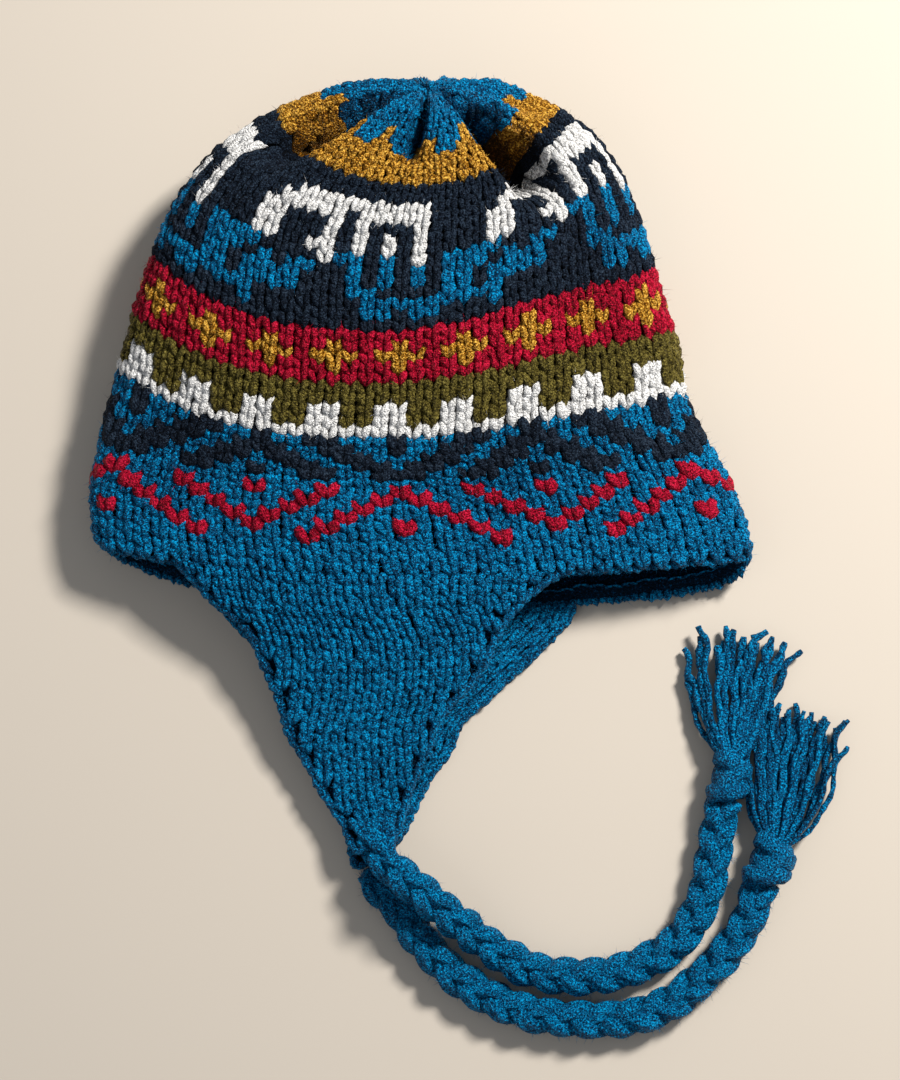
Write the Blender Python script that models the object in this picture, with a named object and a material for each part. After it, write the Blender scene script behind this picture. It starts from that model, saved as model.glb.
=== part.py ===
"""A knitted Andean hat with ear flaps, lying on its side.

The crown points to +Y, the brim to -Y, and the hat rests on z = 0. The cap is a flattened tube of
knitting, open at the brim and gathered to a point at the crown. One ear flap hangs from the front
half of the brim and lies on the other, which is joined to the back half. A braided tie leaves the
tip of each flap and ends in a knot and a tassel.
"""

import math
from collections import namedtuple

import bmesh
import bpy
import numpy as np
from mathutils import Matrix, Vector

# Driving dimensions, in metres
HAT_WIDTH = 0.238
CAP_HEIGHT = 0.1767
LYING_HEIGHT = 0.050
FLAP_LENGTH = 0.100
KNIT_WALL = 0.004
GAP = 0.0003
TIE_DIAMETER = 0.012
KNOT_WIDTH = 0.0168
KNOT_LENGTH = 0.0160
KNOT_HEIGHT = 0.0135
TASSEL_LENGTH = 0.050
LOCK_DIAMETER = 0.0086
ROWS = 53
CROWN_ROW = 39

# Mesh fineness
SIDES = 72
FLAP_COLUMNS = 14
DENSE = 720
TIE_POINT_EVERY = 1.0
HEAD_SIDES, LOCK_SIDES = 10, 6
SMOOTH_BELOW = math.radians(50)
# The seam between two pieces of knitting, in rows
SEAM_ROWS = GAP / (CAP_HEIGHT / ROWS)
BODY_ROWS = (0, 2, 4, 6.5, 9, 12, 15, 17, 20, 22.5, 25, 28.5, 32, 34.5, 36.8, CROWN_ROW - SEAM_ROWS / 2)
CROWN_ROWS = (CROWN_ROW + SEAM_ROWS / 2, 40.6, 42.2, 43.8, 45.4, 47, 48.6, 50, 51.3, 52.4, ROWS)

# How far the bottom's round corners reach in, as a share of their height
FLOOR_CORNER = 1.3
ROOM_UNDER_UPPER_FLAP = KNIT_WALL + GAP
# How sharply the courses bow towards the middle: an oval's own bow is 1, a larger one is sharper
FRONT_BOW, BACK_BOW_LEFT, BACK_BOW_RIGHT = 1.4, 1.6, 0.7
DOME_SHARPNESS = 0.75
# How much a flap's section lines bow down in the middle, as a share of its length, and how much
# lower its two edges lie, as a share of its height
FLAP_BOW, FLAP_EDGE_DROP = 0.05, 0.12
# How deep the grooves between a knot's wound strands are, as a share of its width
KNOT_GROOVE = 0.07

# Colours: linear red, green, blue
BLUE = (0.0, 0.16, 0.36)
NAVY = (0.012, 0.025, 0.05)
RED = (0.40, 0.01, 0.035)
OLIVE = (0.12, 0.09, 0.015)
WHITE = (0.80, 0.80, 0.78)
GOLD = (0.55, 0.28, 0.02)

# The bands of yarn, each from its first row of knitting up
Band = namedtuple("Band", "row colour")
BODY_BANDS = (Band(0, BLUE), Band(15, WHITE), Band(17, OLIVE), Band(20, RED), Band(25, NAVY))
CROWN_BANDS = (Band(39, GOLD), Band(45, BLUE))

# One row for each measured course of knitting. left and right are shares of half the hat's width
# from its middle line, the y columns shares of the cap's height over the brim line, at the two
# side folds and in the middle of the front and of the back, the z columns shares of the loft, and
# round is 0 for a flat-bottomed section and 1 for an oval one.
Course = namedtuple(
    "Course", "row left right left_y right_y front_y back_y fold_z front_z back_z round"
)
COURSES = (
    Course(0, -0.985, 1.000, 0.069, 0.048, -0.004, -0.056, 0.26, 0.50, 0.0, 0.0),
    Course(4, -1.000, 0.967, 0.149, 0.141, 0.079, 0.048, 0.27, 0.55, 0.0, 0.0),
    Course(8, -0.991, 0.916, 0.230, 0.220, 0.152, 0.145, 0.28, 0.61, 0.0, 0.0),
    Course(15, -0.934, 0.808, 0.392, 0.356, 0.265, 0.311, 0.30, 0.71, 0.0, 0.0),
    Course(20, -0.892, 0.778, 0.505, 0.473, 0.366, 0.428, 0.32, 0.79, 0.0, 0.0),
    Course(25, -0.841, 0.724, 0.628, 0.604, 0.463, 0.543, 0.34, 0.87, 0.0, 0.0),
    Course(32, -0.730, 0.633, 0.800, 0.795, 0.611, 0.707, 0.38, 0.96, 0.0, 0.05),
    Course(36, -0.610, 0.553, 0.893, 0.888, 0.696, 0.815, 0.42, 1.00, 0.0, 0.15),
    Course(39, -0.475, 0.458, 0.953, 0.948, 0.758, 0.905, 0.46, 1.00, 0.02, 0.30),
    Course(43, -0.320, 0.330, 0.990, 0.988, 0.818, 0.985, 0.56, 1.00, 0.10, 0.60),
    Course(47, -0.185, 0.215, 1.006, 1.008, 0.884, 1.020, 0.66, 0.99, 0.30, 0.85),
    Course(50, -0.080, 0.122, 1.000, 1.002, 0.932, 1.024, 0.72, 0.95, 0.52, 1.0),
    Course(53, -0.004, 0.043, 0.985, 0.985, 0.974, 0.996, 0.76, 0.80, 0.74, 1.0),
)

# Folds that run into the gather: degrees round the section from the left side fold (90 is the
# middle of the front), half width in degrees, first, deepest and last row, depth as a share of
# the loft.
Fold = namedtuple("Fold", "around spread first deepest last depth")
FOLDS = (
    Fold(36, 9, 36, 43, 53, 0.10),
    Fold(62, 7, 40, 47, 53, 0.05),
    Fold(88, 8, 38, 46, 53, 0.09),
    Fold(123, 9, 34, 41, 52, 0.19),
    Fold(158, 9, 37, 45, 53, 0.08),
    Fold(205, 11, 37, 45, 53, 0.08),
    Fold(262, 12, 38, 46, 53, 0.10),
    Fold(318, 11, 37, 45, 53, 0.08),
)

# Soft dents and swells of the front layer: degrees round, row, their spreads, depth as a share of
# the loft, where a negative depth is a swell.
Dent = namedtuple("Dent", "around row spread rows depth")
DENTS = (
    Dent(40, 12, 16, 6, 0.05),
    Dent(112, 9, 20, 6, 0.04),
    Dent(75, 5, 14, 5, -0.04),
    Dent(66, 28, 18, 6, -0.03),
    Dent(140, 24, 14, 7, 0.05),
)

# The flaps' outlines below the brim: the ends of each section line, x as a share of half the
# hat's width and y as a share of the flap's length below the brim line, and the height of the
# line's outer face as a share of the loft.
Line = namedtuple("Line", "left_x left_y right_x right_y z")
UPPER_FLAP = (
    Line(-0.735, 0.00, 0.415, 0.00, 0.50),
    Line(-0.634, 0.10, 0.301, 0.10, 0.44),
    Line(-0.517, 0.21, 0.235, 0.20, 0.38),
    Line(-0.472, 0.33, 0.193, 0.31, 0.32),
    Line(-0.427, 0.44, 0.124, 0.41, 0.27),
    Line(-0.397, 0.56, 0.055, 0.51, 0.24),
    Line(-0.346, 0.66, 0.013, 0.63, 0.21),
    Line(-0.289, 0.78, -0.031, 0.74, 0.20),
    Line(-0.235, 0.87, -0.055, 0.83, 0.21),
    Line(-0.196, 0.97, -0.082, 0.92, 0.25),
)
UNDER_FLAP = (
    Line(-0.640, 0.09, 0.475, 0.09, 0.0),
    Line(-0.575, 0.18, 0.433, 0.165, 0.0),
    Line(-0.510, 0.24, 0.361, 0.25, 0.0),
    Line(-0.462, 0.33, 0.298, 0.315, 0.0),
    Line(-0.424, 0.43, 0.205, 0.42, 0.0),
    Line(-0.388, 0.54, 0.121, 0.51, 0.0),
    Line(-0.346, 0.63, 0.082, 0.62, 0.0),
    Line(-0.298, 0.73, 0.028, 0.70, 0.0),
    Line(-0.250, 0.835, -0.022, 0.82, 0.0),
    Line(-0.217, 0.93, -0.058, 0.90, 0.0),
    Line(-0.205, 1.03, -0.112, 0.985, 0.0),
)
# Where the flaps join the brim, in degrees round the section
UPPER_FLAP_JOIN = (41.5, 114.0)
UNDER_FLAP_JOIN = (311.0, 242.0)
# How far below the brim a flap still shares the brim's curve, as a share of its length
JOIN_REACH = 0.40

# The ties' routes, in metres from the middle of the brim line, and the tie's girth there as a
# share of its diameter
Stop = namedtuple("Stop", "x y z girth")
UPPER_TIE = (
    Stop(-0.0158, -0.0976, 0.0106, 0.76),
    Stop(-0.0124, -0.1014, 0.0148, 0.90),
    Stop(-0.0064, -0.1063, 0.0172, 1.0),
    Stop(0.0016, -0.1125, 0.0164, 1.0),
    Stop(0.0096, -0.1192, 0.0134, 1.0),
    Stop(0.0218, -0.1288, 0.0088, 1.0),
    Stop(0.0355, -0.1373, 0.0062, 1.0),
    Stop(0.0500, -0.1413, 0.0062, 1.0),
    Stop(0.0640, -0.1410, 0.0062, 1.0),
    Stop(0.0770, -0.1375, 0.0062, 1.0),
    Stop(0.0880, -0.1316, 0.0062, 1.0),
    Stop(0.0965, -0.1225, 0.0062, 1.0),
    Stop(0.1020, -0.1110, 0.0062, 1.0),
    Stop(0.1046, -0.0986, 0.0062, 1.0),
    Stop(0.1070, -0.0868, 0.0064, 1.0),
    Stop(0.1087, -0.0793, 0.0066, 1.0),
)
UNDER_TIE = (
    Stop(-0.0184, -0.1044, 0.0050, 0.76),
    Stop(-0.0168, -0.1084, 0.0058, 0.92),
    Stop(-0.0123, -0.1128, 0.0062, 1.0),
    Stop(-0.0070, -0.1186, 0.0062, 1.0),
    Stop(-0.0002, -0.1283, 0.0062, 1.0),
    Stop(0.0084, -0.1378, 0.0062, 1.0),
    Stop(0.0180, -0.1456, 0.0062, 1.0),
    Stop(0.0298, -0.1514, 0.0062, 1.0),
    Stop(0.0441, -0.1551, 0.0062, 1.0),
    Stop(0.0605, -0.1566, 0.0062, 1.0),
    Stop(0.0755, -0.1554, 0.0062, 1.0),
    Stop(0.0880, -0.1506, 0.0062, 1.0),
    Stop(0.0990, -0.1426, 0.0062, 1.0),
    Stop(0.1083, -0.1331, 0.0062, 1.0),
    Stop(0.1155, -0.1231, 0.0062, 1.0),
    Stop(0.1200, -0.1128, 0.0064, 1.0),
    Stop(0.1217, -0.1085, 0.0066, 1.0),
)

# Tassel locks: degrees from the tassel's own direction, length as a share of the tassel's, height
# of the tip over the floor and girth as shares of the lock's diameter
Lock = namedtuple("Lock", "turn reach rise girth")
UPPER_LOCKS = (
    Lock(-29, 0.78, 0.55, 0.80),
    Lock(-17, 0.97, 0.55, 1.00),
    Lock(-7, 1.00, 0.95, 1.05),
    Lock(4, 1.02, 0.60, 1.05),
    Lock(13, 0.98, 1.00, 1.00),
    Lock(22, 0.93, 0.55, 0.85),
)
UNDER_LOCKS = (
    Lock(-13, 0.66, 0.60, 1.00),
    Lock(-5, 0.84, 1.00, 1.05),
    Lock(3, 1.06, 0.60, 0.95),
    Lock(10, 0.92, 0.95, 1.00),
    Lock(22, 0.58, 0.55, 0.90),
)
# A lock's spine and girth are read at these shares of its length. It is thickest at one of them,
# thins by a share of its girth away from there, and swings sideways by a share of its length.
LOCK_SHARES = (0.0, 0.25, 0.5, 0.75, 1.0)
LOCK_THICKEST, LOCK_TAPER, LOCK_SWING = 0.4, 1.2, 0.05
# Every second lock lies higher at its root, by a share of its radius, and the next one's swing is
# this many radians on
LOCK_LIFT, LOCK_TURN = 0.25, 2.4
# The round head that the locks leave: its length and the locks' root as shares of its radius, then
# its girth at shares of its length
HEAD_LENGTH, LOCK_ROOT = 1.6, 0.55
HeadRing = namedtuple("HeadRing", "along girth")
HEAD_RINGS = (HeadRing(0.0, 0.7), HeadRing(0.3, 0.95), HeadRing(0.7, 1.0), HeadRing(1.0, 0.6))

# The tails of the hat: the tie, the knot's width and length as shares of the named ones, the
# tassel's locks, and how many degrees the tassel leans off the tie's own direction
Tail = namedtuple("Tail", "name stops knot_width knot_length locks lean")
TAILS = (
    Tail("upper", UPPER_TIE, 1.0, 1.0, UPPER_LOCKS, -3.0),
    Tail("under", UNDER_TIE, 1.15, 0.925, UNDER_LOCKS, -8.0),
)


def blend(low, high, share):
    """The value a share of the way from low to high."""
    return low + (high - low) * share


def eased(knots, values, place):
    """A smooth curve through the values at the knots, read at place, without overshoot."""
    knots, values = np.asarray(knots, float), np.asarray(values, float)
    steps, rises = np.diff(knots), np.diff(values)
    slopes = rises / steps
    tangents = np.concatenate([slopes[:1], (slopes[:-1] + slopes[1:]) / 2, slopes[-1:]])
    flat = np.concatenate([[False], slopes[:-1] * slopes[1:] <= 0, [False]])
    tangents[flat] = 0
    i = np.clip(np.searchsorted(knots, place) - 1, 0, len(steps) - 1)
    t = (place - knots[i]) / steps[i]
    hermite = (
        values[i] * (1 + 2 * t) * (1 - t) ** 2
        + values[i + 1] * t**2 * (3 - 2 * t)
        + tangents[i] * steps[i] * t * (1 - t) ** 2
        - tangents[i + 1] * steps[i] * t**2 * (1 - t)
    )
    end = np.where(t < 0, values[0] + tangents[0] * (place - knots[0]), hermite)
    return np.where(t > 1, values[-1] + tangents[-1] * (place - knots[-1]), end)


def course_at(row):
    """The course table read at any row, each column on its own smooth curve."""
    rows = [c.row for c in COURSES]
    columns = (eased(rows, [c[k] for c in COURSES], row) for k in range(1, len(Course._fields)))
    return Course(row, *columns)


def section(angle, row):
    """Points of the cap's smooth outer face: angle and row are arrays of one shape."""
    c = course_at(row)
    half = HAT_WIDTH / 2
    across, swell = -np.cos(angle), np.abs(np.sin(angle))
    front = np.sin(angle) >= 0
    middle, reach = half * (c.left + c.right) / 2, half * (c.right - c.left) / 2
    side_y = blend(c.left_y, c.right_y, (across + 1) / 2)
    back_bow = blend(BACK_BOW_LEFT, BACK_BOW_RIGHT, (across + 1) / 2)
    bow = swell ** blend(np.where(front, FRONT_BOW, back_bow), 1.0, c.round)
    y = CAP_HEIGHT * blend(side_y, np.where(front, c.front_y, c.back_y), bow)
    dome = blend(c.fold_z, c.front_z, swell ** blend(DOME_SHARPNESS, 1.0, c.round))
    drop = c.fold_z - c.back_z
    corner = blend(FLOOR_CORNER * LYING_HEIGHT * drop, reach, c.round)
    inset = np.maximum(0.0, 1 - reach * (1 - np.abs(across)) / np.maximum(corner, 1e-9))
    bed = c.back_z + drop * (1 - np.sqrt(np.maximum(0.0, 1 - inset**2)))
    return np.stack([middle + reach * across, y, LYING_HEIGHT * np.where(front, dome, bed)], -1)


def bell(distance, spread):
    """1 at no distance, falling smoothly to 0 past about two spreads."""
    return np.exp(-((distance / spread) ** 2))


def turned(angle, around):
    """How far an angle in radians is from a place in degrees, in degrees either way."""
    return (np.degrees(angle) - around + 180) % 360 - 180


def creases(angle, row):
    """How deep the folds and dents press in at each point, in metres."""
    depth = np.zeros(np.shape(angle))
    for fold in FOLDS:
        rise = np.clip((row - fold.first) / (fold.deepest - fold.first), 0, 1)
        fall = np.clip((fold.last - row) / (fold.last - fold.deepest), 0, 1)
        along = np.sin(np.pi / 2 * np.minimum(rise, fall)) ** 1.5
        depth = depth + fold.depth * along * bell(turned(angle, fold.around), fold.spread)
    for dent in DENTS:
        near = bell(turned(angle, dent.around), dent.spread) * bell(row - dent.row, dent.rows)
        depth = depth + dent.depth * near
    return depth * LYING_HEIGHT


def outward(surface, first, second):
    """Unit normals of a surface of two arrays, by small steps along each."""
    step = 1e-3
    along = surface(first + step, second) - surface(first - step, second)
    up = surface(first, second + step * 10) - surface(first, second - step * 10)
    normal = np.cross(along, up)
    return normal / np.maximum(np.linalg.norm(normal, axis=-1, keepdims=True), 1e-12)


def cap_point(angle, row, inset=0.0):
    """The knitted wall at an angle and row, inset metres in from its outer face."""
    angle, row = np.broadcast_arrays(np.asarray(angle, float), np.asarray(row, float))
    press = creases(angle, row) + inset
    return section(angle, row) - outward(section, angle, row) * press[..., None]


def even_angles(row, count):
    """Angles that share one course's length evenly, starting at the left side fold."""
    angle = np.linspace(0, 2 * np.pi, DENSE + 1)
    points = section(angle, np.full(DENSE + 1, float(row)))
    length = np.concatenate([[0], np.cumsum(np.linalg.norm(np.diff(points, axis=0), axis=1))])
    return np.interp(np.linspace(0, length[-1], count, endpoint=False), length, angle)


def new_object(name, mesh, colours=(BLUE,)):
    """An object of its own with its own yarns, one material for each colour."""
    for colour in colours:
        material = bpy.data.materials.new(name + "_yarn")
        material.use_nodes = True
        shader = material.node_tree.nodes["Principled BSDF"]
        shader.inputs["Base Color"].default_value = (*colour, 1)
        shader.inputs["Roughness"].default_value = 0.9
        shader.inputs["Metallic"].default_value = 0
        mesh.materials.append(material)
    thing = bpy.data.objects.new(name, mesh)
    bpy.context.collection.objects.link(thing)
    return thing


def finished(form, name):
    """A mesh made from a bmesh, with its faces turned outwards."""
    bmesh.ops.recalc_face_normals(form, faces=form.faces)
    mesh = bpy.data.meshes.new(name)
    form.to_mesh(mesh)
    form.free()
    mesh.shade_smooth()
    mesh.set_sharp_from_angle(angle=SMOOTH_BELOW)
    return mesh


def ring_of(form, points):
    """New vertices at the points, in order."""
    return [form.verts.new(p) for p in points]


def bridge(form, lower, upper, closed=True, yarn=0):
    """Quads of one yarn between two rows of vertices of one length."""
    count = len(lower)
    for i in range(count if closed else count - 1):
        j = (i + 1) % count
        form.faces.new((lower[i], lower[j], upper[j], upper[i])).material_index = yarn


def cap_shell(name, rows, bands, gathered):
    """One length of the knitted tube between rows, gathered shut at its last row or open."""
    form = bmesh.new()
    outer, inner = [], []
    for row in rows:
        angles = even_angles(row, SIDES)
        outer.append(ring_of(form, cap_point(angles, row)))
        inner.append(ring_of(form, cap_point(angles, row, KNIT_WALL)))
    for skin in (outer, inner):
        for row, low, high in zip(rows, skin, skin[1:]):
            bridge(form, low, high, yarn=sum(row >= band.row for band in bands[1:]))
    bridge(form, outer[0], inner[0])
    if gathered:
        for ring in (outer[-1], inner[-1]):
            middle = sum((v.co for v in ring), Vector()) / len(ring)
            pole = form.verts.new(middle)
            for i, v in enumerate(ring):
                form.faces.new((v, ring[(i + 1) % len(ring)], pole))
    else:
        bridge(form, outer[-1], inner[-1])
    return new_object(name, finished(form, name), [band.colour for band in bands])


def flap_face(lines, join, across, down):
    """Outer face of a flap: across runs left to right and down from the brim to the tip."""
    half, top = HAT_WIDTH / 2, -SEAM_ROWS
    place = down * (len(lines) - 1)
    knots = np.arange(len(lines))
    left_x, left_y, right_x, right_y, z = (
        eased(knots, [line[k] for line in lines], place) for k in range(len(Line._fields))
    )
    bulge = 1 - (2 * across - 1) ** 2
    x = half * blend(left_x, right_x, across)
    y = -FLAP_LENGTH * (blend(left_y, right_y, across) + FLAP_BOW * bulge * (1 - down))
    height = LYING_HEIGHT * z * (1 - FLAP_EDGE_DROP * (1 - bulge) * np.clip(1 - down, 0, 1))
    low = KNIT_WALL + ROOM_UNDER_UPPER_FLAP
    height = np.where(z > 0, np.maximum(height, low), 0.0)
    face = np.stack([x, y, height], -1)
    angle = np.radians(blend(join[0], join[1], across))
    brim = cap_point(angle, np.full(np.shape(angle), top))
    start_x = half * blend(lines[0].left_x, lines[0].right_x, across)
    start_y = -FLAP_LENGTH * (blend(lines[0].left_y, lines[0].right_y, across) + FLAP_BOW * bulge)
    start_z = LYING_HEIGHT * lines[0].z * (1 - FLAP_EDGE_DROP * (1 - bulge))
    start = np.stack([start_x, start_y, start_z + np.zeros(np.shape(across))], -1)
    hold = np.clip(1 - down / JOIN_REACH, 0, 1) ** 2
    return face + hold[..., None] * (brim - start)


def flap(name, lines, join, turned_under):
    """A flap as a knitted slab that carries on from the brim, inside face and all."""
    form = bmesh.new()
    across = np.linspace(0, 1, FLAP_COLUMNS + 1)
    outer, inner = [], []
    for down in np.linspace(0, 1, len(lines) + 3):
        level = np.full(across.shape, down)

        def surface(a, d):
            return flap_face(lines, join, a, d)

        face = surface(across, level)
        inward = outward(surface, across, level)
        inward = inward * np.sign(inward[:, 2:3]) * (1 if turned_under else -1)
        angle = np.radians(blend(join[0], join[1], across))
        at_brim = cap_point(angle, -SEAM_ROWS, KNIT_WALL) - cap_point(angle, -SEAM_ROWS)
        hold = max(0.0, 1 - down / JOIN_REACH)
        back = blend(inward * KNIT_WALL, at_brim, hold)
        outer.append(ring_of(form, face))
        inner.append(ring_of(form, face + back))
    for skin in (outer, inner):
        for low, high in zip(skin, skin[1:]):
            bridge(form, low, high, closed=False)
    for side in (0, -1):
        bridge(form, [r[side] for r in outer], [r[side] for r in inner], closed=False)
    for end in (0, -1):
        bridge(form, outer[end], inner[end], closed=False)
    return new_object(name, finished(form, name))


def route_points(stops, spacing):
    """Points a spacing apart on the smooth curve through a route's stops, with their girth."""
    chord = [0.0]
    for a, b in zip(stops, stops[1:]):
        chord.append(chord[-1] + math.dist(a[:3], b[:3]))
    count = max(2, round(chord[-1] / spacing)) + 1
    place = np.linspace(0, chord[-1], count)
    return np.stack([eased(chord, [s[k] for s in stops], place) for k in range(4)], -1)


def tie(name, stops):
    """A braided tie as a round tube along its route."""
    curve = bpy.data.curves.new(name, "CURVE")
    curve.dimensions = "3D"
    curve.bevel_depth = TIE_DIAMETER / 2
    curve.bevel_resolution = 2
    curve.use_fill_caps = True
    points = route_points(stops, TIE_POINT_EVERY * TIE_DIAMETER)
    spline = curve.splines.new("POLY")
    spline.points.add(len(points) - 1)
    for point, (x, y, z, girth) in zip(spline.points, points):
        point.co = (x, y, z, 1)
        point.radius = girth
    return new_object(name, curve)


def end_of(stops):
    """Where a tie ends and the level direction that it ends in."""
    last, before = Vector(stops[-1][:3]), Vector(stops[-2][:3])
    heading = (last - before).xy.normalized()
    return last, Vector((heading.x, heading.y, 0))


def knot_frame(stops, long):
    """The knot's middle and heading: its near end lies a gap past the tie's end."""
    last, heading = end_of(stops)
    middle = last + heading * (GAP + long / 2)
    return Vector((middle.x, middle.y, KNOT_HEIGHT / 2)), heading


def turned_to(heading):
    """A turn about Z that takes +Y to the heading."""
    return Matrix.Rotation(math.atan2(-heading.x, heading.y), 4, "Z")


def knot(name, stops, wide, long):
    """An overhand knot: a round lump with the wound strands standing out of it."""
    middle, heading = knot_frame(stops, long)
    form = bmesh.new()
    bmesh.ops.create_uvsphere(form, u_segments=16, v_segments=10, radius=0.5)
    for v in form.verts:
        lon, lat = math.atan2(v.co.z, v.co.x), math.asin(max(-1, min(1, 2 * v.co.y)))
        side = math.cos(lat)
        wound = 1 - KNOT_GROOVE * side * (1 + math.cos(2 * lon + 4 * lat))
        v.co = Vector((v.co.x * wide * wound, v.co.y * long, v.co.z * KNOT_HEIGHT * wound))
    bmesh.ops.transform(form, matrix=Matrix.Translation(middle) @ turned_to(heading), verts=form.verts)
    return new_object(name, finished(form, name))


def tapered(name, spine, radii, sides):
    """A closed tube along a spine of points with a radius at each."""
    form = bmesh.new()
    rings = []
    for i, (point, radius) in enumerate(zip(spine, radii)):
        ahead = spine[min(i + 1, len(spine) - 1)] - spine[max(i - 1, 0)]
        turn = ahead.to_track_quat("Y", "Z").to_matrix()
        circle = (2 * math.pi * k / sides for k in range(sides))
        rings.append(
            ring_of(form, [point + turn @ Vector((math.cos(c), 0, math.sin(c))) * radius for c in circle])
        )
    for low, high in zip(rings, rings[1:]):
        bridge(form, low, high)
    form.faces.new(rings[0])
    form.faces.new(rings[-1])
    mesh = finished(form, name)
    helper = bpy.data.objects.new(name, mesh)
    bpy.context.collection.objects.link(helper)
    return helper


def fused(name, pieces):
    """One closed mesh of all the pieces, joined by Boolean unions, with the pieces removed."""
    body = pieces[0]
    for other in pieces[1:]:
        union = body.modifiers.new(other.name, "BOOLEAN")
        union.operation = "UNION"
        union.solver = "EXACT"
        union.object = other
    bpy.context.view_layer.update()
    graph = bpy.context.evaluated_depsgraph_get()
    mesh = bpy.data.meshes.new_from_object(body.evaluated_get(graph))
    mesh.name = name
    for piece in pieces:
        bpy.data.objects.remove(piece)
    mesh.materials.clear()
    mesh.shade_smooth()
    mesh.set_sharp_from_angle(angle=SMOOTH_BELOW)
    return mesh


def lock_of_yarn(name, number, lock, root, towards):
    """One lock of a tassel, from its root out over the floor to its tip."""
    radius = LOCK_DIAMETER / 2 * lock.girth
    swing = LOCK_SWING * TASSEL_LENGTH * math.sin(LOCK_TURN * number)
    sideways = Vector((towards.y, -towards.x, 0)) * swing
    spine, radii = [], []
    for share in LOCK_SHARES:
        girth = radius * (1 - LOCK_TAPER * (share - LOCK_THICKEST) ** 2)
        point = root + towards * (TASSEL_LENGTH * lock.reach * share) + sideways * math.sin(math.pi * share)
        point.z = max(blend(root.z, lock.rise * LOCK_DIAMETER, math.sqrt(share)), girth + GAP)
        spine.append(point)
        radii.append(girth)
    return tapered(f"{name}_lock_{number}", spine, radii, LOCK_SIDES)


def tassel(name, stops, long, locks, lean):
    """Locks of yarn fanned out over the floor from a round head just past the knot."""
    middle, heading = knot_frame(stops, long)
    start = middle + heading * (long / 2 + GAP)
    head_radius = TIE_DIAMETER / 2
    aim = Matrix.Rotation(math.radians(-lean), 3, "Z") @ heading
    spine = [start + heading * (head_radius * HEAD_LENGTH * ring.along) for ring in HEAD_RINGS]
    radii = [head_radius * ring.girth for ring in HEAD_RINGS]
    pieces = [tapered(name + "_head", spine, radii, HEAD_SIDES)]
    for number, lock in enumerate(locks):
        lift = LOCK_LIFT * LOCK_DIAMETER / 2 * lock.girth * (number % 2)
        root = start + heading * (head_radius * LOCK_ROOT) + Vector((0, 0, lift))
        towards = Matrix.Rotation(math.radians(-lock.turn), 3, "Z") @ aim
        pieces.append(lock_of_yarn(name, number, lock, root, towards))
    return new_object(name, fused(name, pieces))


def centre_on_floor(names):
    """Moves everything so that the origin is under the middle of the named objects."""
    bpy.context.view_layer.update()
    corners = []
    for name in names:
        mesh = bpy.data.objects[name].data
        corners += [v.co.copy() for v in mesh.vertices]
    low = [min(c[k] for c in corners) for k in range(3)]
    high = [max(c[k] for c in corners) for k in range(3)]
    shift = Vector((-(low[0] + high[0]) / 2, -(low[1] + high[1]) / 2, -low[2]))
    for thing in bpy.data.objects:
        thing.data.transform(Matrix.Translation(shift))


def main():
    for thing in list(bpy.data.objects):
        bpy.data.objects.remove(thing)
    cap_shell("cap_body", BODY_ROWS, BODY_BANDS, gathered=False)
    cap_shell("crown", CROWN_ROWS, CROWN_BANDS, gathered=True)
    flap("ear_flap_upper", UPPER_FLAP, UPPER_FLAP_JOIN, turned_under=False)
    flap("ear_flap_under", UNDER_FLAP, UNDER_FLAP_JOIN, turned_under=True)
    for tail in TAILS:
        long = KNOT_LENGTH * tail.knot_length
        tie("tie_" + tail.name, tail.stops)
        knot("tie_knot_" + tail.name, tail.stops, KNOT_WIDTH * tail.knot_width, long)
        tassel("tassel_" + tail.name, tail.stops, long, tail.locks, tail.lean)
    centre_on_floor(["cap_body", "crown", "ear_flap_upper", "ear_flap_under"])


main()
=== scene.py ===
"""A knitted Andean hat with ear flaps, dressed stitch by stitch, lying on its side on a pale floor.

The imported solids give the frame. Every stitch is a pair of plump yarn legs laid on the cap's or a
flap's surface, the ties are three-strand braids, and the tassels are loose yarn ends. Lengths are
metres. The crown points to +Y, the brim to -Y.
"""

from __future__ import annotations

import logging
import math
from dataclasses import dataclass, field
from enum import Enum
from typing import Callable, NamedTuple, Sequence

import bpy
import numpy as np
from mathutils import Matrix, Vector

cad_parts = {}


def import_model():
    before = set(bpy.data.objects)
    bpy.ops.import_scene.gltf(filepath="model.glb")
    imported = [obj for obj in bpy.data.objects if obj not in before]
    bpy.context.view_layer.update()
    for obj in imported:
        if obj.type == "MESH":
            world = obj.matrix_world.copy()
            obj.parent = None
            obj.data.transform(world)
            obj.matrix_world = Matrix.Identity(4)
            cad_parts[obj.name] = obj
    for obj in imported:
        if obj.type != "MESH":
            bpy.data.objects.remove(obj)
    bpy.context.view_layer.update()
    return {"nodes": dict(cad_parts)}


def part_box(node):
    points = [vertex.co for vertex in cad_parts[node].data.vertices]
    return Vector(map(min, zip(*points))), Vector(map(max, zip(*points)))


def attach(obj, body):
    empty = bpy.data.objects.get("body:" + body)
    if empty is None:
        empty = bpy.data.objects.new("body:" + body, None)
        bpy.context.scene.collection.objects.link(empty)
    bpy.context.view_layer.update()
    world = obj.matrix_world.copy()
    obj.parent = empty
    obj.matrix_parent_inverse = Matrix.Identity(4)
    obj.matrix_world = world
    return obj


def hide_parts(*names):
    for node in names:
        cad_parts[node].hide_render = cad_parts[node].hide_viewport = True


LOG = logging.getLogger("chullo_hat")
BODY = "root"
FLOOR_CLEAR = 0.0002
# How far a surface is stepped to each side, in its own two measures, to find its normals
FIRST_STEP = 0.001
SECOND_STEP = 0.01
# Painted shade: the tone of a wall behind its stitches, dark because it lies in their shade
WALL_SHADE_TONE = -3.0

Array = np.ndarray
Surface = Callable[[Array, Array, Array], Array]


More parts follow.
